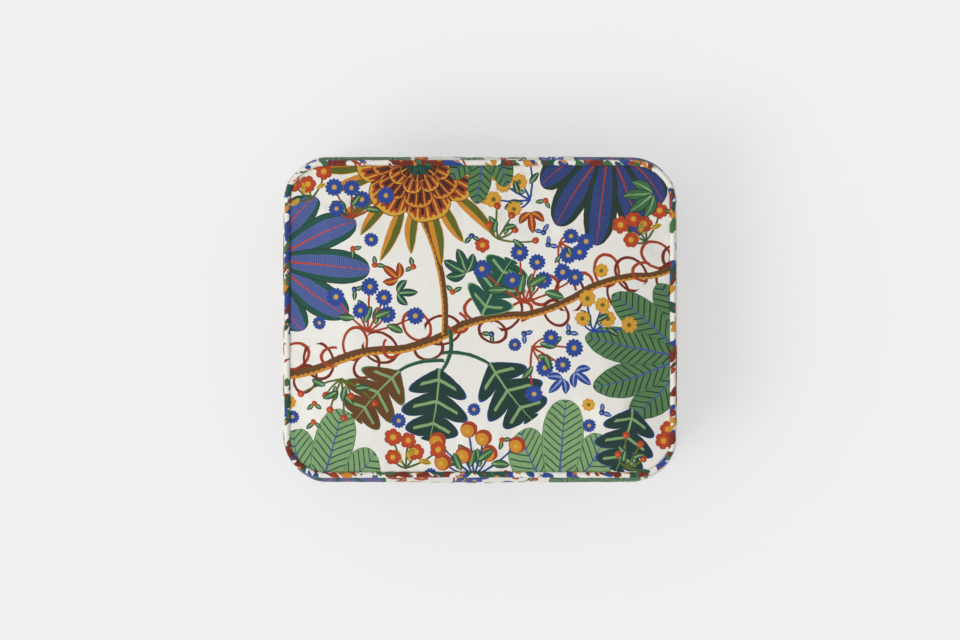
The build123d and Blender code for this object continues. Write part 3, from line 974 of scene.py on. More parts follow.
def make_piece(name, vertices, faces, body, slot, material, corner_uvs=None, hides=()):
    """A smooth mesh piece with outward normals that rides on a body."""
    mesh = bpy.data.meshes.new(name)
    mesh.from_pydata([tuple(v) for v in vertices], [], faces)
    if corner_uvs is not None:
        layer = mesh.uv_layers.new(name="cloth")
        layer.data.foreach_set("uv", [value for uv in corner_uvs for value in uv])
    bm = bmesh.new()
    bm.from_mesh(mesh)
    bmesh.ops.recalc_face_normals(bm, faces=bm.faces)
    bm.to_mesh(mesh)
    bm.free()
    mesh.polygons.foreach_set("use_smooth", [True] * len(mesh.polygons))
    if material:
        mesh.materials.append(material)
    mesh.update()
    piece = bpy.data.objects.new(name, mesh)
    bpy.context.scene.collection.objects.link(piece)
    if body:
        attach(piece, body)
    if hides:
        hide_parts(*hides)
    return piece


def sweep(name, section, columns, closed, **more):
    """Carry a closed section round the outline. section gives (inset, z, v) points, v in millimetres."""
    rows = [section(*column) for column in columns]
    count, around = len(rows[0]), len(columns)
    vertices, faces, uvs = [], [], []
    for (base, normal, s), row in zip(columns, rows):
        for inset, z, v in row:
            point = base - normal * inset
            vertices.append((point.x, point.y, z))
    for c in range(around if closed else around - 1):
        d = (c + 1) % around
        near = columns[c][2] / MM
        far = PERIMETER / MM if closed and d == 0 else columns[d][2] / MM
        for k in range(count):
            m = (k + 1) % count
            v_low = rows[c][k][2]
            v_high = rows[c][m][2] if m else v_low + abs(rows[c][k][2] - rows[c][k - 1][2])
            faces.append((c * count + k, d * count + k, d * count + m, c * count + m))
            uvs += [(near, v_low), (far, v_low), (far, v_high), (near, v_high)]
    if not closed:
        for c in (0, around - 1):
            faces.append(tuple(c * count + k for k in range(count)))
            uvs += [(columns[c][2] / MM, row[2]) for row in rows[c]]
    return make_piece(name, vertices, faces, corner_uvs=uvs, **more)


def loop_section(points):
    """A plain section with v measured along it."""
    made, v = [], 0.0
    for k, (inset, z) in enumerate(points):
        if k:
            v += math.hypot(inset - points[k - 1][0], z - points[k - 1][1]) / MM
        made.append((inset, z, v))
    return made


def across_square(a, b):
    """For a point of the square -1..1: its share of the way out, and its length along the outline."""
    ring = max(abs(a), abs(b))
    if ring < 1e-9:
        return 0.0, 0.0
    p, q = a / ring, b / ring
    side, end = SIDES_RUN + BEND, ENDS_RUN + BEND
    if abs(q) >= abs(p):
        return ring, -p * side / 2 if q > 0 else side / 2 + end + (p + 1) / 2 * side
    return ring, side / 2 + (1 - q) / 2 * end if p < 0 else 1.5 * side + end + (q + 1) / 2 * end


def layer_grid(count_x, count_y, edge_inset, height):
    """Points over the outline, drawn in by edge_inset(base, normal), at height(x, y, ring, s)."""
    points = []
    for j in range(count_y + 1):
        for i in range(count_x + 1):
            ring, s = across_square(2 * i / count_x - 1, 2 * j / count_y - 1)
            base, normal = outline_at(s)
            flat = (base - normal * edge_inset(base, normal)) * ring
            points.append(Vector((flat.x, flat.y, height(flat.x, flat.y, ring, s))))
    return points


def flat_uvs(vertices, faces, a=0, b=1, turn=1):
    """Each corner's place on the cloth, in millimetres, from two of its coordinates."""
    return [(turn * vertices[v][a] / MM, turn * vertices[v][b] / MM) for face in faces for v in face]


def slab_piece(name, counts, edge_inset, top, bottom, turn=1, **more):
    """A closed layer between two height functions. turn=-1 cuts it from the cloth the other way round."""
    count_x, count_y = counts
    upper = layer_grid(count_x, count_y, edge_inset, top)
    lower = layer_grid(count_x, count_y, edge_inset, bottom)
    vertices = upper + lower
    row, shift = count_x + 1, len(upper)
    faces = []
    for j in range(count_y):
        for i in range(count_x):
            k = j * row + i
            faces.append((k, k + 1, k + row + 1, k + row))
            faces.append((k + shift, k + row + shift, k + row + 1 + shift, k + 1 + shift))
    edge = list(range(count_x)) + [j * row + count_x for j in range(count_y)]
    edge += [count_y * row + i for i in range(count_x, 0, -1)]
    edge += [j * row for j in range(count_y, 0, -1)]
    for k, point in enumerate(edge):
        after = edge[(k + 1) % len(edge)]
        faces.append((point, point + shift, after + shift, after))
    return make_piece(name, vertices, faces, corner_uvs=flat_uvs(vertices, faces, turn=turn), **more)


def skin(rings, around, first=0):
    """Faces over rings of points that follow each other, closed at both ends."""
    faces = []
    for r in range(rings - 1):
        low = first + r * around
        for k in range(around):
            m = (k + 1) % around
            faces.append((low + k, low + m, low + around + m, low + around + k))
    return faces + [tuple(first + r * around + k for k in range(around)) for r in (0, rings - 1)]


def squarer(value, power):
    """A sine or cosine pushed towards 1 or -1, which squares off a round section."""
    return math.copysign(abs(value) ** power, value)


def along_path(path, k):
    """Direction of a path at one of its points."""
    return (path[min(k + 1, len(path) - 1)] - path[max(k - 1, 0)]).normalized()


def tubes(name, lines, radius, sides=6, **more):
    """Round threads along short lines of points, joined in one mesh."""
    vertices, faces = [], []
    for line in lines:
        faces += skin(len(line), sides, len(vertices))
        for k, point in enumerate(line):
            heading = along_path(line, k)
            side = heading.cross(Vector((0.31, 0.17, 0.93))).normalized()
            up = heading.cross(side)
            for j in range(sides):
                angle = 2 * math.pi * j / sides
                vertices.append(point + (side * math.cos(angle) + up * math.sin(angle)) * radius)
    return make_piece(name, vertices, faces, **more)


STITCH, STITCH_PITCH, STITCH_R = 2.5 * MM, 3.3 * MM, 0.27 * MM


def stitch_line(point, heading, outward):
    """One stitch that dips into the cloth at both ends."""
    shape = ((-0.5, -0.3), (-0.3, 0.12), (0.3, 0.12), (0.5, -0.3))
    return [point + heading * (a * STITCH) + outward * (b * MM) for a, b in shape]


def stitches(name, lines, body, material=THREAD, radius=STITCH_R):
    tubes(name, lines, radius, body=body, slot="filler_cord", material=material)


def seam_stitches(name, inset, z, body, face=1):
    """Stitches that follow the outline, on the outer face of the cloth, or with face=-1 on the inner one."""
    lines = []
    for base, normal, s in stations(STITCH_PITCH):
        point = base - normal * inset
        outward = Vector((face * normal.x, face * normal.y, 0))
        lines.append(stitch_line(Vector((point.x, point.y, z)), Vector((-normal.y, normal.x, 0)), outward))
    stitches(name, lines, body)


def gathers(s, pitch, drift):
    """Small even folds whose spacing drifts along the seam; both lengths are in millimetres."""
    return math.sin(s / (pitch * MM) + 2 * math.sin(s / (drift * MM)))


def both_faces(face, thick):
    """A closed section: along one face and back along the other."""
    return face + [(inset + thick, z, v) for inset, z, v in reversed(face)]


# ---------------------------------------------------------------- walls and their foam
def case_line(z):
    return arc_inset(CASE_SEAM, CASE_APEX, (BAND_INSET, case_high[2]), z)


def lid_line(z):
    return arc_inset((BAND_INSET, wall_low[2]), LID_APEX, LID_SEAM, z)


def seam_pucker(s, share, drift):
    """Fine gathers that die out away from the seams at a wall's two edges."""
    return 0.22 * MM * (abs(share - 0.5) * 2) ** 6 * gathers(s, 1.1, drift)


def case_outer(base, normal, s, share):
    """The padded case wall: soft shallow dents between its seams."""
    z = CASE_SEAM[1] + (case_high[2] - CASE_SEAM[1]) * share
    soft = math.sin(math.pi * share)
    dent = ripple(s, 1.0) * 0.7 * MM * soft
    corner = cornered(base, normal) * 0.9 * MM * soft
    return case_line(z) + dent - 0.3 * MM * soft + corner + seam_pucker(s, share, 17), z


def lid_outer(base, normal, s, share):
    """The lid wall, drawn in at the top seam."""
    z = wall_low[2] + (LID_SEAM[1] - wall_low[2]) * share
    soft = math.sin(math.pi * share)
    dent = ripple(s, 2.0) * 0.35 * MM * soft
    corner = cornered(base, normal) * 1.3 * MM * soft
    drawn_in = tuck(base, normal) * max(0.0, share - 0.25) / 0.75
    return lid_line(z) + drawn_in + dent + corner + seam_pucker(s, share, 15), z


def wall_section(outer, rows, v_start, thick):
    """A section function for a wall: up its outer face and down its inner one."""
    def section(base, normal, s):
        face, v = [], v_start
        for r in range(rows + 1):
            inset, z = outer(base, normal, s, r / rows)
            if face:
                v += math.hypot(inset - face[-1][0], z - face[-1][1]) / MM
            face.append((inset, z, v))
        return both_faces(face, thick)
    return section


WALL_PRINT = wall_print(PERIMETER / MM).motifs
CASE_RISE, LID_RISE, LID_V = 60.4, 28.6, 72.0
case_wall = sweep(
    "case_wall_cloth", wall_section(case_outer, 24, 0.0, FABRIC), COLUMNS, True,
    body="case", slot="printed_fabric", material=None, hides=["case_wall"],
)
lid_wall = sweep(
    "lid_wall_cloth", wall_section(lid_outer, 12, LID_V, FABRIC), COLUMNS, True,
    body="lid", slot="printed_fabric", material=None, hides=["lid_wall"],
)
for wall, rise in ((case_wall, CASE_RISE), (lid_wall, LID_RISE)):
    print_cloth(wall, WALL_PRINT, WALL_CELL, "wall_print")


def foam_wall(name, outer, heights, tape_edge, body, node):
    """The foam strip between a wall's cloth and its lining, thinner where the zip tape is sewn in."""
    rows = 14
    low, high = heights
    behind_tape = BAND_INSET + 2.3 * MM

    def section(base, normal, s):
        face = []
        for r in range(rows + 1):
            z = low + (high - low) * r / rows
            whole_low, whole_high = outer(base, normal, s, 0.0)[1], outer(base, normal, s, 1.0)[1]
            inset = outer(base, normal, s, (z - whole_low) / (whole_high - whole_low))[0] + FABRIC + 0.3 * MM
            if (z > tape_edge) == (body == "case"):
                inset = max(inset, behind_tape)
            face.append((min(inset, LINING_INSET - 0.5 * MM), z))
        back = LINING_INSET - 0.1 * MM
        return loop_section(face + [(back, z) for _, z in reversed(face)])

    piece = sweep(name, section, COLUMNS, True, body=body, slot="foam", material=FOAM, hides=[node])


CASE_FOAM, LID_FOAM = (4.8 * MM, 62.4 * MM), (77.6 * MM, 100.2 * MM)
foam_wall("case_foam_strip", case_outer, CASE_FOAM, TAPE_LOW, "case", "case_wall_foam")
foam_wall("lid_foam_strip", lid_outer, LID_FOAM, TAPE_HIGH, "lid", "lid_wall_foam")


# ---------------------------------------------------------------- lid panel, its pad and the base panel
LID_EDGE_Z = LID_PIPING[1] - 0.7 * MM


def lid_edge(base, normal):
    return LID_PIPING[0] + tuck(base, normal) + 0.9 * MM


def lid_crown(x, y, ring, s):
    """Padded crown: it falls ever faster from the flat middle to the piping."""
    rise = CROWN_Z - LID_EDGE_Z
    pucker = 0.25 * MM * ring ** 14 * (1 - ring ** 60) * gathers(s, 1.3, 13)
    soft = 0.5 * MM * math.sin(x / (31 * MM) + 1) * math.sin(y / (27 * MM)) * (1 - ring ** 6)
    return LID_EDGE_Z + (rise - 0.5 * MM) * (1 - ring ** 3.6) + pucker + soft


CANVAS_CLOTH = {
    "vertex_group_mass": "seam", "quality": 5, "mass": 0.2, "tension_stiffness": 20,
    "compression_stiffness": 20, "shear_stiffness": 8, "bending_stiffness": 0.3, "shrink_min": -0.012,
    "use_pressure": True,
}


def inflate(piece, held, frames, pressure, cap):
    """Let the cloth settle by simulation under its pad's push, held at the seam, and keep the result."""
    start = [v.co.copy() for v in piece.data.vertices]
    group = piece.vertex_groups.new(name="seam")
    group.add(held, 1.0, "REPLACE")
    cloth = piece.modifiers.new("cloth", "CLOTH")
    for key, value in CANVAS_CLOTH.items():
        setattr(cloth.settings, key, value)
    cloth.settings.uniform_pressure_force = pressure
    cloth.settings.effector_weights.gravity = 0.0
    scene = bpy.context.scene
    for number in range(1, frames + 1):
        scene.frame_set(number)
    settled = piece.evaluated_get(bpy.context.evaluated_depsgraph_get()).to_mesh()
    moved = [v.co.copy() for v in settled.vertices]
    piece.modifiers.clear()
    piece.vertex_groups.clear()
    scene.frame_set(1)
    for vertex, old, new in zip(piece.data.vertices, start, moved):
        step = new - old
        if step.length > cap:
            step *= cap / step.length
        vertex.co = old + step


LID_PRINT = lid_print().motifs


def lid_top():
    """Top panel: one cloth surface, settled by simulation, then given its thickness."""
    count_x, count_y = 120, 100
    points = layer_grid(count_x, count_y, lid_edge, lid_crown)
    row = count_x + 1
    faces = [
        (j * row + i, j * row + i + 1, (j + 1) * row + i + 1, (j + 1) * row + i)
        for j in range(count_y) for i in range(count_x)
    ]
    uvs = flat_uvs(points, faces)
    piece = make_piece("lid_panel_cloth", points, faces, "lid", "printed_fabric", None, uvs, ["lid_panel"])
    edge = [v for v in range(len(points)) if v % row in (0, count_x) or v // row in (0, count_y)]
    inflate(piece, edge, frames=20, pressure=1.2, cap=1.2 * MM)
    modifier = piece.modifiers.new("thickness", "SOLIDIFY")
    modifier.thickness = FABRIC
    modifier.offset = -1
    graph = bpy.context.evaluated_depsgraph_get()
    mesh = bpy.data.meshes.new_from_object(
        piece.evaluated_get(graph), preserve_all_data_layers=True, depsgraph=graph
    )
    piece.modifiers.clear()
    piece.data = mesh
    print_cloth(piece, LID_PRINT, LID_CELL, "lid_print")


lid_top()
lid_pad = slab_piece(
    "lid_foam_pad", LAYER_COUNTS, lambda base, normal: lid_edge(base, normal) + 1.6 * MM,
    lambda x, y, ring, s: lid_crown(x, y, ring, s) - 2.3 * MM - 0.6 * MM * ring,
    lambda x, y, ring, s: LID_LINING_HIGH + 0.1 * MM,
    body="lid", slot="foam", material=FOAM, hides=["lid_foam"],
)

base_cloth = slab_piece(
    "base_panel_cloth", LAYER_COUNTS, lambda base, normal: BASE_PIPING[0] + PIPING_R + 0.1 * MM,
    lambda x, y, ring, s: FABRIC, lambda x, y, ring, s: 0.0, turn=-1,
    body="case", slot="printed_fabric", material=None, hides=["base_panel"],
)
print_cloth(base_cloth, LID_PRINT, LID_CELL, "lid_print")


# ---------------------------------------------------------------- piping
def piping_material():
    """The print cut on the bias: long slanting patches of its colours on the pale ground."""
    material, tree, shader = new_material("piping_print")
    place = cloth_place(tree)
    x, y, _ = split_xyz(tree, place)
    slanted = add_node(tree, "CombineXYZ", {0: x + y * 0.5, 1: y * 0.8}).outputs[0]
    colour = CREAM
    patches = [
        (0.035, 0.0, 0.57, TEAL), (0.05, 40.0, 0.58, BLUE), (0.06, 90.0, 0.60, RED_BROWN),
        (0.07, 140.0, 0.61, ORANGE), (0.08, 200.0, 0.62, GREEN), (0.10, 260.0, 0.64, RUST),
    ]
    for scale, shift, threshold, patch in patches:
        moved = vector_math(tree, "ADD", slanted, (shift / scale, shift, 0.0))
        field = noise(tree, moved, scale, 2.0, 0.6)
        colour = blend_colour(inside(field - threshold + 0.02, 0.012), colour, patch)
    woven_surface(tree, shader, place, colour, CANVAS)
    return material


PIPING_PRINT = piping_material()


def round_section(centre, extra, radius_at, sides):
    def section(base, normal, s):
        points = []
        for k in range(sides):
            turn = 2 * math.pi * k / sides
            radius = radius_at(s, turn)
            inset = centre[0] + extra(base, normal) - radius * math.cos(turn)
            points.append((inset, centre[1] + radius * math.sin(turn), turn * PIPING_R / MM))
        return points
    return section


def piping(place, centre, body, extra, seed):
    """Fabric-covered cord sewn round a seam, and the twisted cord in it."""
    def cover_radius(s, turn):
        wrinkle = 0.05 * math.sin(s / (2.2 * MM) + turn + math.sin(s / (9 * MM))) + 0.03 * ripple(s, seed)
        return PIPING_R * min(1.0 + wrinkle, 1.03)

    def cord_radius(s, turn):
        return PIPING_R * (0.55 + 0.06 * math.cos(3 * turn + s / (1.4 * MM)))

    sweep(
        f"{place}_piping_cloth", round_section(centre, extra, cover_radius, 16), COLUMNS, True,
        body=body, slot="piping_fabric", material=PIPING_PRINT, hides=[f"{place}_piping_cover"],
    )
    sweep(
        f"{place}_piping_cord_twist", round_section(centre, extra, cord_radius, 9), COLUMNS, True,
        body=body, slot="filler_cord", material=CORD, hides=[f"{place}_piping_cord"],
    )


piping("base", BASE_PIPING, "case", lambda base, normal: 0.0, 3.0)
piping("lid", LID_PIPING, "lid", tuck, 4.0)


# ---------------------------------------------------------------- linings and bindings
def lining_wall(name, low, high, body, node, seed):
    """The lining's wall strip, a little slack between its seams."""
    rise = high - low

    def section(base, normal, s):
        face = []
        for r in range(11):
            share = r / 10
            slack = 0.35 * MM * math.sin(math.pi * share) * ripple(s, seed)
            fold = 0.12 * MM * (abs(share - 0.5) * 2) ** 4 * math.sin(s / (1.6 * MM))
            face.append((LINING_INSET + LINING + slack + fold, low + rise * share, rise * share / MM))
        return both_faces(face, -LINING)

    piece = sweep(name, section, COLUMNS, True, body=body, slot="lining", material=LINING_CLOTH, hides=[node])


def lining_panel(name, z, side, body):
    """The lining's flat panel, with soft shallow folds that rise to the given side."""
    def fold(x, y, ring, s):
        wave = math.sin(x / (23 * MM) + 2 * math.sin(y / (40 * MM))) * math.sin(y / (31 * MM) + 1)
        return z + side * (0.35 * MM + 0.35 * MM * wave) * (1 - ring ** 8)

    piece = slab_piece(
        name, LAYER_COUNTS, lambda base, normal: LINING_INSET + LINING / 2,
        lambda *at: fold(*at) + LINING / 2, lambda *at: fold(*at) - LINING / 2,
        body=body, slot="lining", material=LINING_CLOTH,
    )


lining_wall("case_lining_wall", LINING_FLOOR, LINING_TOP, "case", "case_lining", 5.0)
lining_panel("case_lining_floor", LINING_FLOOR + LINING / 2, 1, "case")
lining_wall("lid_lining_wall", LID_LINING_LOW, LID_LINING_HIGH, "lid", "lid_lining", 6.0)
lining_panel("lid_lining_top", LID_LINING_HIGH - LINING / 2, -1, "lid")


def seam_binding(name, rim, away, body, node):
    """Grosgrain folded over the raw edges at the rim; away is the side that its legs point to."""
    leg, thick, roll = 5.0 * MM, 0.55 * MM, 0.9 * MM
    outer_face, inner_face = BAND_INSET + 1.65 * MM, LINING_INSET + 1.15 * MM
    path = [(outer_face, rim + away * leg)]
    for k in range(7):
        turn = math.pi * k / 6
        middle, half = (outer_face + inner_face) / 2, (inner_face - outer_face) / 2
        path.append((middle - half * math.cos(turn), rim + away * roll * (1 - math.sin(turn))))
    path.append((inner_face, rim + away * (leg + 0.6 * MM)))

    def section(base, normal, s):
        wave = 0.1 * MM * ripple(s, 7.0)
        under = [(path[0][0] + thick, path[0][1])]
        roof = enumerate(path[1:8])
        under += [(inset + thick * (1 - 2 * k / 6), z + away * thick) for k, (inset, z) in roof]
        under += [(path[-1][0] - thick, path[-1][1])]
        return loop_section([(i, z + wave) for i, z in path] + [(i, z + wave) for i, z in reversed(under)])

    sweep(name, section, COLUMNS, True, body=body, slot="binding", material=BINDING_TAPE, hides=[node])
    seam_stitches(f"{name}_stitches", inner_face + 0.05 * MM, rim + away * (leg - 1.0 * MM), body, face=-1)


seam_binding("case_binding_tape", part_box("case_seam_binding")[1][2], -1, "case", "case_seam_binding")
seam_binding("lid_binding_tape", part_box("lid_seam_binding")[0][2], 1, "lid", "lid_seam_binding")


# ---------------------------------------------------------------- zip tapes, coils and hinge strip
TAPE_TAIL = 8 * MM  # of lower tape past each end stop
LOWER_TAPE = stations(COLUMN_PITCH, ZIP_END_X - TAPE_TAIL, PERIMETER - ZIP_END_X + TAPE_TAIL)
UPPER_TAPE = stations(COLUMN_PITCH, ZIP_END_X, PERIMETER - ZIP_END_X)


def zip_tape(name, columns, low, high, body, node):
    """Woven tape, sewn flat behind the edge of the wall and slightly wavy along its free edge."""
    def section(base, normal, s):
        wave = 0.12 * MM * math.sin(s / (4.1 * MM) + ripple(s, 8.0))
        near, far = TAPE_INSET + 0.05 * MM, TAPE_INSET + 0.55 * MM
        outer = [(near, low), (near, (low + high) / 2), (near, high - 0.15 * MM), (near + 0.1 * MM, high)]
        back = [(far - 0.1 * MM, high), (far, high - 0.15 * MM), (far, (low + high) / 2), (far, low)]
        return loop_section([(i, z + wave * (z - low) / (high - low)) for i, z in outer + back])

    piece = sweep(name, section, columns, False, body=body, slot="zip_tape", material=ZIP_TAPE, hides=[node])


LOWER_EDGE, UPPER_EDGE = 69.3 * MM, 70.7 * MM  # the tapes' free edges, at the chain
zip_tape("lower_tape_weave", LOWER_TAPE, TAPE_LOW, LOWER_EDGE, "case", "lower_zip_tape")
zip_tape("upper_tape_weave", UPPER_TAPE, TAPE_HIGH, UPPER_EDGE, "lid", "upper_zip_tape")

COIL_LOW, COIL_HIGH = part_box("lower_zip_coil"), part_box("upper_zip_coil")
TOOTH_PITCH, TOOTH_R = 1.4 * MM, 0.31 * MM


def coil_teeth(name, foot, head, shift, body, node):
    """The coil's turns: each a flattened loop that reaches from its foot on the tape to its head."""
    lines = []
    last = PERIMETER - ZIP_END_X - TOOTH_PITCH + shift
    for base, normal, s in stations(TOOTH_PITCH, ZIP_END_X + shift, last):
        heading = Vector((-normal.y, normal.x))
        outer, inner = base - normal * (BAND_INSET - 0.6 * MM), base - normal * (BAND_INSET + 0.55 * MM)
        bend = (head - foot) * 0.12
        path = ((outer, -0.25, foot), (outer, -0.12, head - bend), (outer * 0.5 + inner * 0.5, 0.0, head),
                (inner, 0.12, head - bend), (inner, 0.25, foot))
        lines.append([Vector((*(p + heading * (a * TOOTH_PITCH)), z)) for p, a, z in path])
    tubes(name, lines, TOOTH_R, 8, body=body, slot="zip_coil", material=COIL, hides=[node])


LOWER_HEADS, UPPER_HEADS = 70.25 * MM, 69.75 * MM  # past each other, as the turns mesh
COIL_FEET = (COIL_LOW[0][2] + TOOTH_R, COIL_HIGH[1][2] - TOOTH_R)
coil_teeth("lower_coil_turns", COIL_FEET[0], LOWER_HEADS, 0.0, "case", "lower_zip_coil")
coil_teeth("upper_coil_turns", COIL_FEET[1], UPPER_HEADS, TOOTH_PITCH / 2, "lid", "upper_zip_coil")

STRIP_LOW, STRIP_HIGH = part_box("hinge_strip")


def hinge_strip():
    """Printed cloth across the back between the zip's ends, where the lid hinges."""
    rows, half = 18, STRIP_HIGH[0]
    columns = stations(COLUMN_PITCH, PERIMETER - half, PERIMETER + half)

    def section(base, normal, s):
        face = []
        for r in range(rows + 1):
            share = r / rows
            z = STRIP_LOW[2] + (STRIP_HIGH[2] - STRIP_LOW[2]) * share
            crease = 0.25 * MM * math.sin(math.pi * share) * (1 + 0.5 * ripple(s, 9.0))
            face.append((BAND_INSET + crease, z, CASE_RISE + share * 12.0))
        return both_faces(face, FABRIC)

    piece = sweep(
        "hinge_strip_cloth", section, columns, False, slot="printed_fabric", material=None,
        body=None, hides=["hinge_strip"],
    )
    print_cloth(piece, WALL_PRINT, WALL_CELL, "wall_print")
    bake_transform(piece)


hinge_strip()
seam_stitches("case_band_stitches", BAND_INSET - 0.10 * MM, case_high[2] - 1.7 * MM, "case")
seam_stitches("lid_band_stitches", BAND_INSET - 0.10 * MM, wall_low[2] + 1.7 * MM, "lid")


# ---------------------------------------------------------------- handle on the left end
STRAP_LOW, STRAP_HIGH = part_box("side_handle")
STRAP_Z, STRAP_HALF_Y = (STRAP_LOW[2] + STRAP_HIGH[2]) / 2, STRAP_HIGH[1]
STRAP_THICK, STRAP_WIDE = 1.4 * MM, STRAP_HIGH[2] - STRAP_LOW[2]
PATCH_MIDDLE, PATCH_HALF, PATCH_POINTS = 61 * MM, 13 * MM, 72
WALL_X = -HALF_X + CASE_APEX[0]


def strap_x(y):
    """Inner face of the strap: flat where it is sewn down and bowed out between the patches."""
    free = PATCH_MIDDLE - PATCH_HALF
    share = min(abs(y) / free, 1.0)
    sewn = WALL_X - 0.45 * MM
    return sewn - (sewn - STRAP_LOW[0] - STRAP_THICK) * math.cos(share * math.pi / 2) ** 1.6


def strap():
    rows, around = 80, 20
    vertices = []
    for j in range(rows + 1):
        y = STRAP_HALF_Y * (2 * j / rows - 1)
        for k in range(around):
            turn = 2 * math.pi * k / around
            wide = squarer(math.cos(turn), 0.35) * STRAP_WIDE / 2
            thick = squarer(math.sin(turn), 0.6) * STRAP_THICK / 2
            sag = 0.25 * MM * math.sin(y / (14 * MM)) * math.cos(turn)
            vertices.append((strap_x(y) - STRAP_THICK / 2 - thick + sag * 0.3, y, STRAP_Z + wide))
    faces = skin(rows + 1, around)
    uvs = flat_uvs(vertices, faces, 1, 2)
    hides = ["side_handle"]
    piece = make_piece("side_handle_webbing", vertices, faces, "case", "webbing", WEBBING, uvs, hides)


strap()


def patch_ring(scale):
    """Points of a square with rounded corners, by its share of the patch's size."""
    points = []
    for k in range(PATCH_POINTS):
        turn = 2 * math.pi * k / PATCH_POINTS
        c, s = math.cos(turn), math.sin(turn)
        points.append((squarer(c, 0.28) * scale * PATCH_HALF, squarer(s, 0.28) * scale * PATCH_HALF))
    return points


def patch_face(b):
    """Outer face of a patch: proud over the strap and pressed down to the wall above and below it."""
    past = max(0.0, abs(b) - STRAP_WIDE / 2 + 1.5 * MM) / (3.5 * MM)
    return WALL_X - (2.85 - 1.35 * min(past, 1.0) ** 2 * (3 - 2 * min(past, 1.0))) * MM


def leather_patches():
    """The two patches over the strap's ends, with worn edges and a sewn square with a cross."""
    rings = (
        (1.0, 1.9), (1.0, 0.45), (0.985, 0.15), (0.95, 0.0),
        (0.86, 0.1), (0.83, 0.12), (0.78, 0.0), (0.4, 0.0),
    )
    vertices, faces, lines = [], [], []
    for side in (-1, 1):
        faces += skin(len(rings), PATCH_POINTS, len(vertices))
        for scale, sunk in rings:
            for a, b in patch_ring(scale):
                vertices.append((patch_face(b) + sunk * MM, side * PATCH_MIDDLE + a, STRAP_Z + b))
        edge, steps = PATCH_HALF * 0.845, 7
        spread = [edge * (2 * (k + 0.5) / steps - 1) for k in range(steps)]
        places = [(a, end, 1, 0) for a in spread for end in (edge, -edge)]
        places += [(end, a, 0, 1) for a in spread for end in (edge, -edge)]
        places += [(a, a, 0.7, 0.7) for a in spread[1:-1]]
        places += [(a, -a, 0.7, -0.7) for a in spread[1:-1] if abs(a) > MM]
        for a, b, along, up in places:
            at = Vector((patch_face(b), side * PATCH_MIDDLE + a, STRAP_Z + b))
            lines.append(stitch_line(at, Vector((0, along, up)).normalized(), Vector((-1, 0, 0))))
    uvs = flat_uvs(vertices, faces, 1, 2)
    make_piece("handle_patch_leather", vertices, faces, "case", "leather", LEATHER, uvs, ["handle_patches"])
    stitches("handle_patch_stitches", lines, "case", TAN_THREAD)


leather_patches()


# ---------------------------------------------------------------- net pocket in the lid
NET_LOW, NET_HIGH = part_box("mesh_pocket")
NET_Z = (NET_LOW[2] + NET_HIGH[2]) / 2
NET_PITCH, NET_R = 4.4 * MM, 0.26 * MM


def in_pocket(x, y):
    """Whether a point lies in the pocket's outline: square at the mouth, rounded at the back."""
    if not (NET_LOW[0] + 0.4 * MM < x < NET_HIGH[0] - 0.4 * MM and NET_LOW[1] < y < NET_HIGH[1] - 0.4 * MM):
        return False
    radius = CORNER - (HALF_Y - NET_HIGH[1])
    corner_x, corner_y = NET_HIGH[0] - radius, NET_HIGH[1] - radius
    over_x, over_y = abs(x) - corner_x, y - corner_y
    return over_x < 0 or over_y < 0 or math.hypot(over_x, over_y) < radius - 0.4 * MM


def net():
    """Net of threads that cross on the bias, over and under each other."""
    lines = []
    wide, deep = NET_HIGH[0] - NET_LOW[0], NET_HIGH[1] - NET_LOW[1]
    step = NET_PITCH / 2
    for slope in (1, -1):
        for k in range(int((wide + deep) / NET_PITCH)):
            start = NET_LOW[0] - (deep if slope > 0 else 0) + k * NET_PITCH
            line = []
            for j in range(int(deep / step) + 2):
                x, y = start + slope * j * step, NET_LOW[1] + 0.1 * MM + j * step
                if in_pocket(x, y):
                    weave = 0.16 * MM * slope * (1 if j % 2 else -1)
                    sag = 0.3 * MM * math.sin(math.pi * (x - NET_LOW[0]) / wide) * math.sin(y / (25 * MM))
                    line.append(Vector((x, y, NET_Z + weave - sag)))
                    continue
                if len(line) > 1:
                    lines.append(line)
                line = []
            if len(line) > 1:
                lines.append(line)
    piece = tubes(
        "mesh_pocket_net", lines, NET_R, 5, body="lid", slot="mesh", material=NET, hides=["mesh_pocket"],
    )


net()


def pocket_binding():
    """Elastic binding folded over the net's free edge, gathered in fine ribs."""
    low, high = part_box("mesh_pocket_binding")
    middle_y, middle_z = (low[1] + high[1]) / 2, (low[2] + high[2]) / 2
    half_y, half_z = (high[1] - low[1]) / 2, (high[2] - low[2]) / 2
    columns, around = 300, 14
    vertices = []
    for c in range(columns + 1):
        x = low[0] + (high[0] - low[0]) * c / columns
        gather = 1 - 0.10 * math.sin(x / (0.75 * MM)) ** 2
        for k in range(around):
            turn = 2 * math.pi * k / around
            y = middle_y + squarer(math.cos(turn), 0.6) * half_y
            vertices.append((x, y, middle_z + math.sin(turn) * half_z * gather))
    faces = skin(columns + 1, around)
    make_piece("pocket_binding_elastic", vertices, faces, "lid", "binding", BINDING_TAPE,
               flat_uvs(vertices, faces), ["mesh_pocket_binding"])
    lines = []
    for x in range(round(low[0] / MM) + 3, round(high[0] / MM) - 2, 4):
        at = Vector((x * MM, middle_y - half_y * 0.4, low[2] + 0.1 * MM))
        lines.append(stitch_line(at, Vector((1, 0, 0)), Vector((0, 0, -1))))
    stitches("pocket_binding_stitches", lines, "lid")


pocket_binding()


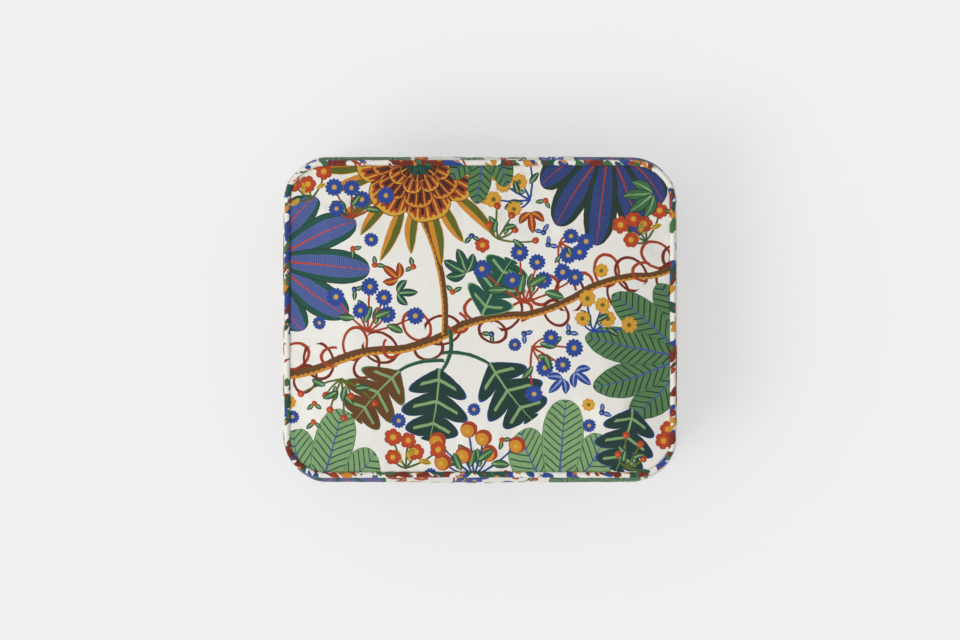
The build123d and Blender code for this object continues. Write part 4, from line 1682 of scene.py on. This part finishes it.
# ---------------------------------------------------------------- pulls
def pull_tab(side):
    """A leather strip folded round the slider's bridge, riveted below it and sewn at both edges."""
    low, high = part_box(f"{side}_pull_tab")
    middle, half = (low[0] + high[0]) / 2, (high[0] - low[0]) / 2
    eye = Vector(((low[1] + high[1]) / 2, SPLIT_Z))
    leather, bend, tip = 1.12 * MM, 1.27 * MM, low[2]
    path = []
    for turn in (-1, 1):
        leg = []
        for k in range(25):
            share = k / 24
            z = tip + (eye.y - tip) * share
            flare = max(0.0, share - 0.86) / 0.14
            leg.append(Vector((eye.x - turn * (0.6 * MM + (bend - 0.6 * MM) * flare ** 2), z)))
        arc = [Vector((eye.x + math.cos(a) * bend, eye.y + math.sin(a) * bend))
               for a in (math.pi * k / 10 for k in range(1, 10))]
        path += leg + arc if turn < 0 else leg[::-1]
    around, vertices = 20, []
    for k, point in enumerate(path):
        heading = along_path(path, k)
        out = Vector((-heading.y, heading.x))
        rise = min(max(point.y - tip, 0.02 * MM), 2.8 * MM)
        wide = half - 2.8 * MM + math.sqrt((2.8 * MM) ** 2 - (2.8 * MM - rise) ** 2)
        for j in range(around):
            turn = 2 * math.pi * j / around
            x = squarer(math.cos(turn), 0.3) * wide
            thick = squarer(math.sin(turn), 0.5) * leather / 2
            vertices.append((middle + x, point.x + out.x * thick, point.y + out.y * thick))
    make_piece(f"{side}_pull_leather", vertices, skin(len(path), around), f"{side}_pull", "leather", LEATHER,
               hides=[f"{side}_pull_tab"])
    lines = []
    for face in (-1, 1):
        outward = Vector((0, face, 0))
        y = eye.x + face * (0.6 * MM + leather / 2)
        for k in range(4):
            for x in (-2.5 * MM, 2.5 * MM):
                at = Vector((middle + x, y, tip + (2.9 + 2.1 * k) * MM))
                lines.append(stitch_line(at, Vector((0, 0, 0.62)), outward))
        for k in range(2):
            at = Vector((middle + (2 * k - 1) * 1.15 * MM, y, tip + 1.6 * MM))
            lines.append(stitch_line(at, Vector((0.62, 0, 0)), outward))
    stitches(f"{side}_pull_stitches", lines, f"{side}_pull", TAN_THREAD, 0.2 * MM)


# ---------------------------------------------------------------- metal and board parts carried over
SHOWN = {"base_board": BOARD, "zip_end_stops": BRASS}
for side in ("left", "right"):
    pull_tab(side)
    SHOWN |= {f"{side}_{part}": BRASS for part in ("zip_slider", "slider_bridge", "pull_rivet")}
for name, material in SHOWN.items():
    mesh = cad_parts[name].data
    mesh.materials.clear()
    mesh.materials.append(material)


# ---------------------------------------------------------------- floor, light and camera
FLOOR_SIZE, FLOOR_TONE, FLOOR_GLOW = 100, (0.38, 0.38, 0.381, 1), 0.50
WHITE = (1, 1, 1, 1)
SKY_FLOOR, SKY_OVERHEAD, SKY_SIDE = 0.22, 0.66, 0.78
KEY_ENERGY, KEY_ANGLE, KEY_FROM = 0.90, math.radians(26), Vector((-0.76, -0.45, 1.0))
SOFTBOX_FROM = Vector((-0.82, -0.05, 0.52)).normalized()
CAMERA_HEIGHT, SENSOR = 2.0, 36
PICTURE_SHARE = 392 / 960  # of the picture's width, for the case's length


def floor():
    bpy.ops.mesh.primitive_plane_add(size=FLOOR_SIZE)
    ground = bpy.context.object
    ground.name = "floor"
    material, tree, shader = new_material("floor_light_table", rough=0.95, specular=0.1)
    glow = {"Emission Color": WHITE, "Emission Strength": FLOOR_GLOW}
    set_inputs(tree, shader, {"Base Color": FLOOR_TONE, **glow})
    ground.data.materials.append(material)
    ground.location.z = -0.2 * MM


def light():
    """A soft key from the left over a sky that is brightest overhead and towards the key."""
    world = bpy.data.worlds.new("studio")
    bpy.context.scene.world = world
    world.use_nodes = True
    tree = world.node_tree
    x, y, up = split_xyz(tree, add_node(tree, "TexCoord", {}).outputs["Generated"])
    overhead = higher_of(up, 0.0)
    toward = higher_of(x * SOFTBOX_FROM.x + y * SOFTBOX_FROM.y + up * SOFTBOX_FROM.z, 0.0)
    strength = overhead * overhead * SKY_OVERHEAD + toward * toward * SKY_SIDE + SKY_FLOOR
    set_inputs(tree, tree.nodes["Background"], {"Strength": strength, "Color": WHITE})
    key = bpy.data.lights.new("key", "SUN")
    key.energy, key.angle = KEY_ENERGY, KEY_ANGLE
    lamp = bpy.data.objects.new("key", key)
    bpy.context.scene.collection.objects.link(lamp)
    lamp.rotation_euler = KEY_FROM.to_track_quat("Z", "Y").to_euler()


def camera():
    """A camera that looks straight down."""
    lens = bpy.data.cameras.new("camera")
    lens.sensor_width = SENSOR
    lens.lens = SENSOR * PICTURE_SHARE * (CAMERA_HEIGHT - LID_APEX[1]) / (2 * HALF_X)
    eye = bpy.data.objects.new("camera", lens)
    eye.location = (0.0, 0.0, CAMERA_HEIGHT)
    bpy.context.scene.collection.objects.link(eye)
    bpy.context.scene.camera = eye


floor()
light()
camera()
bpy.context.scene.view_settings.view_transform = "Standard"
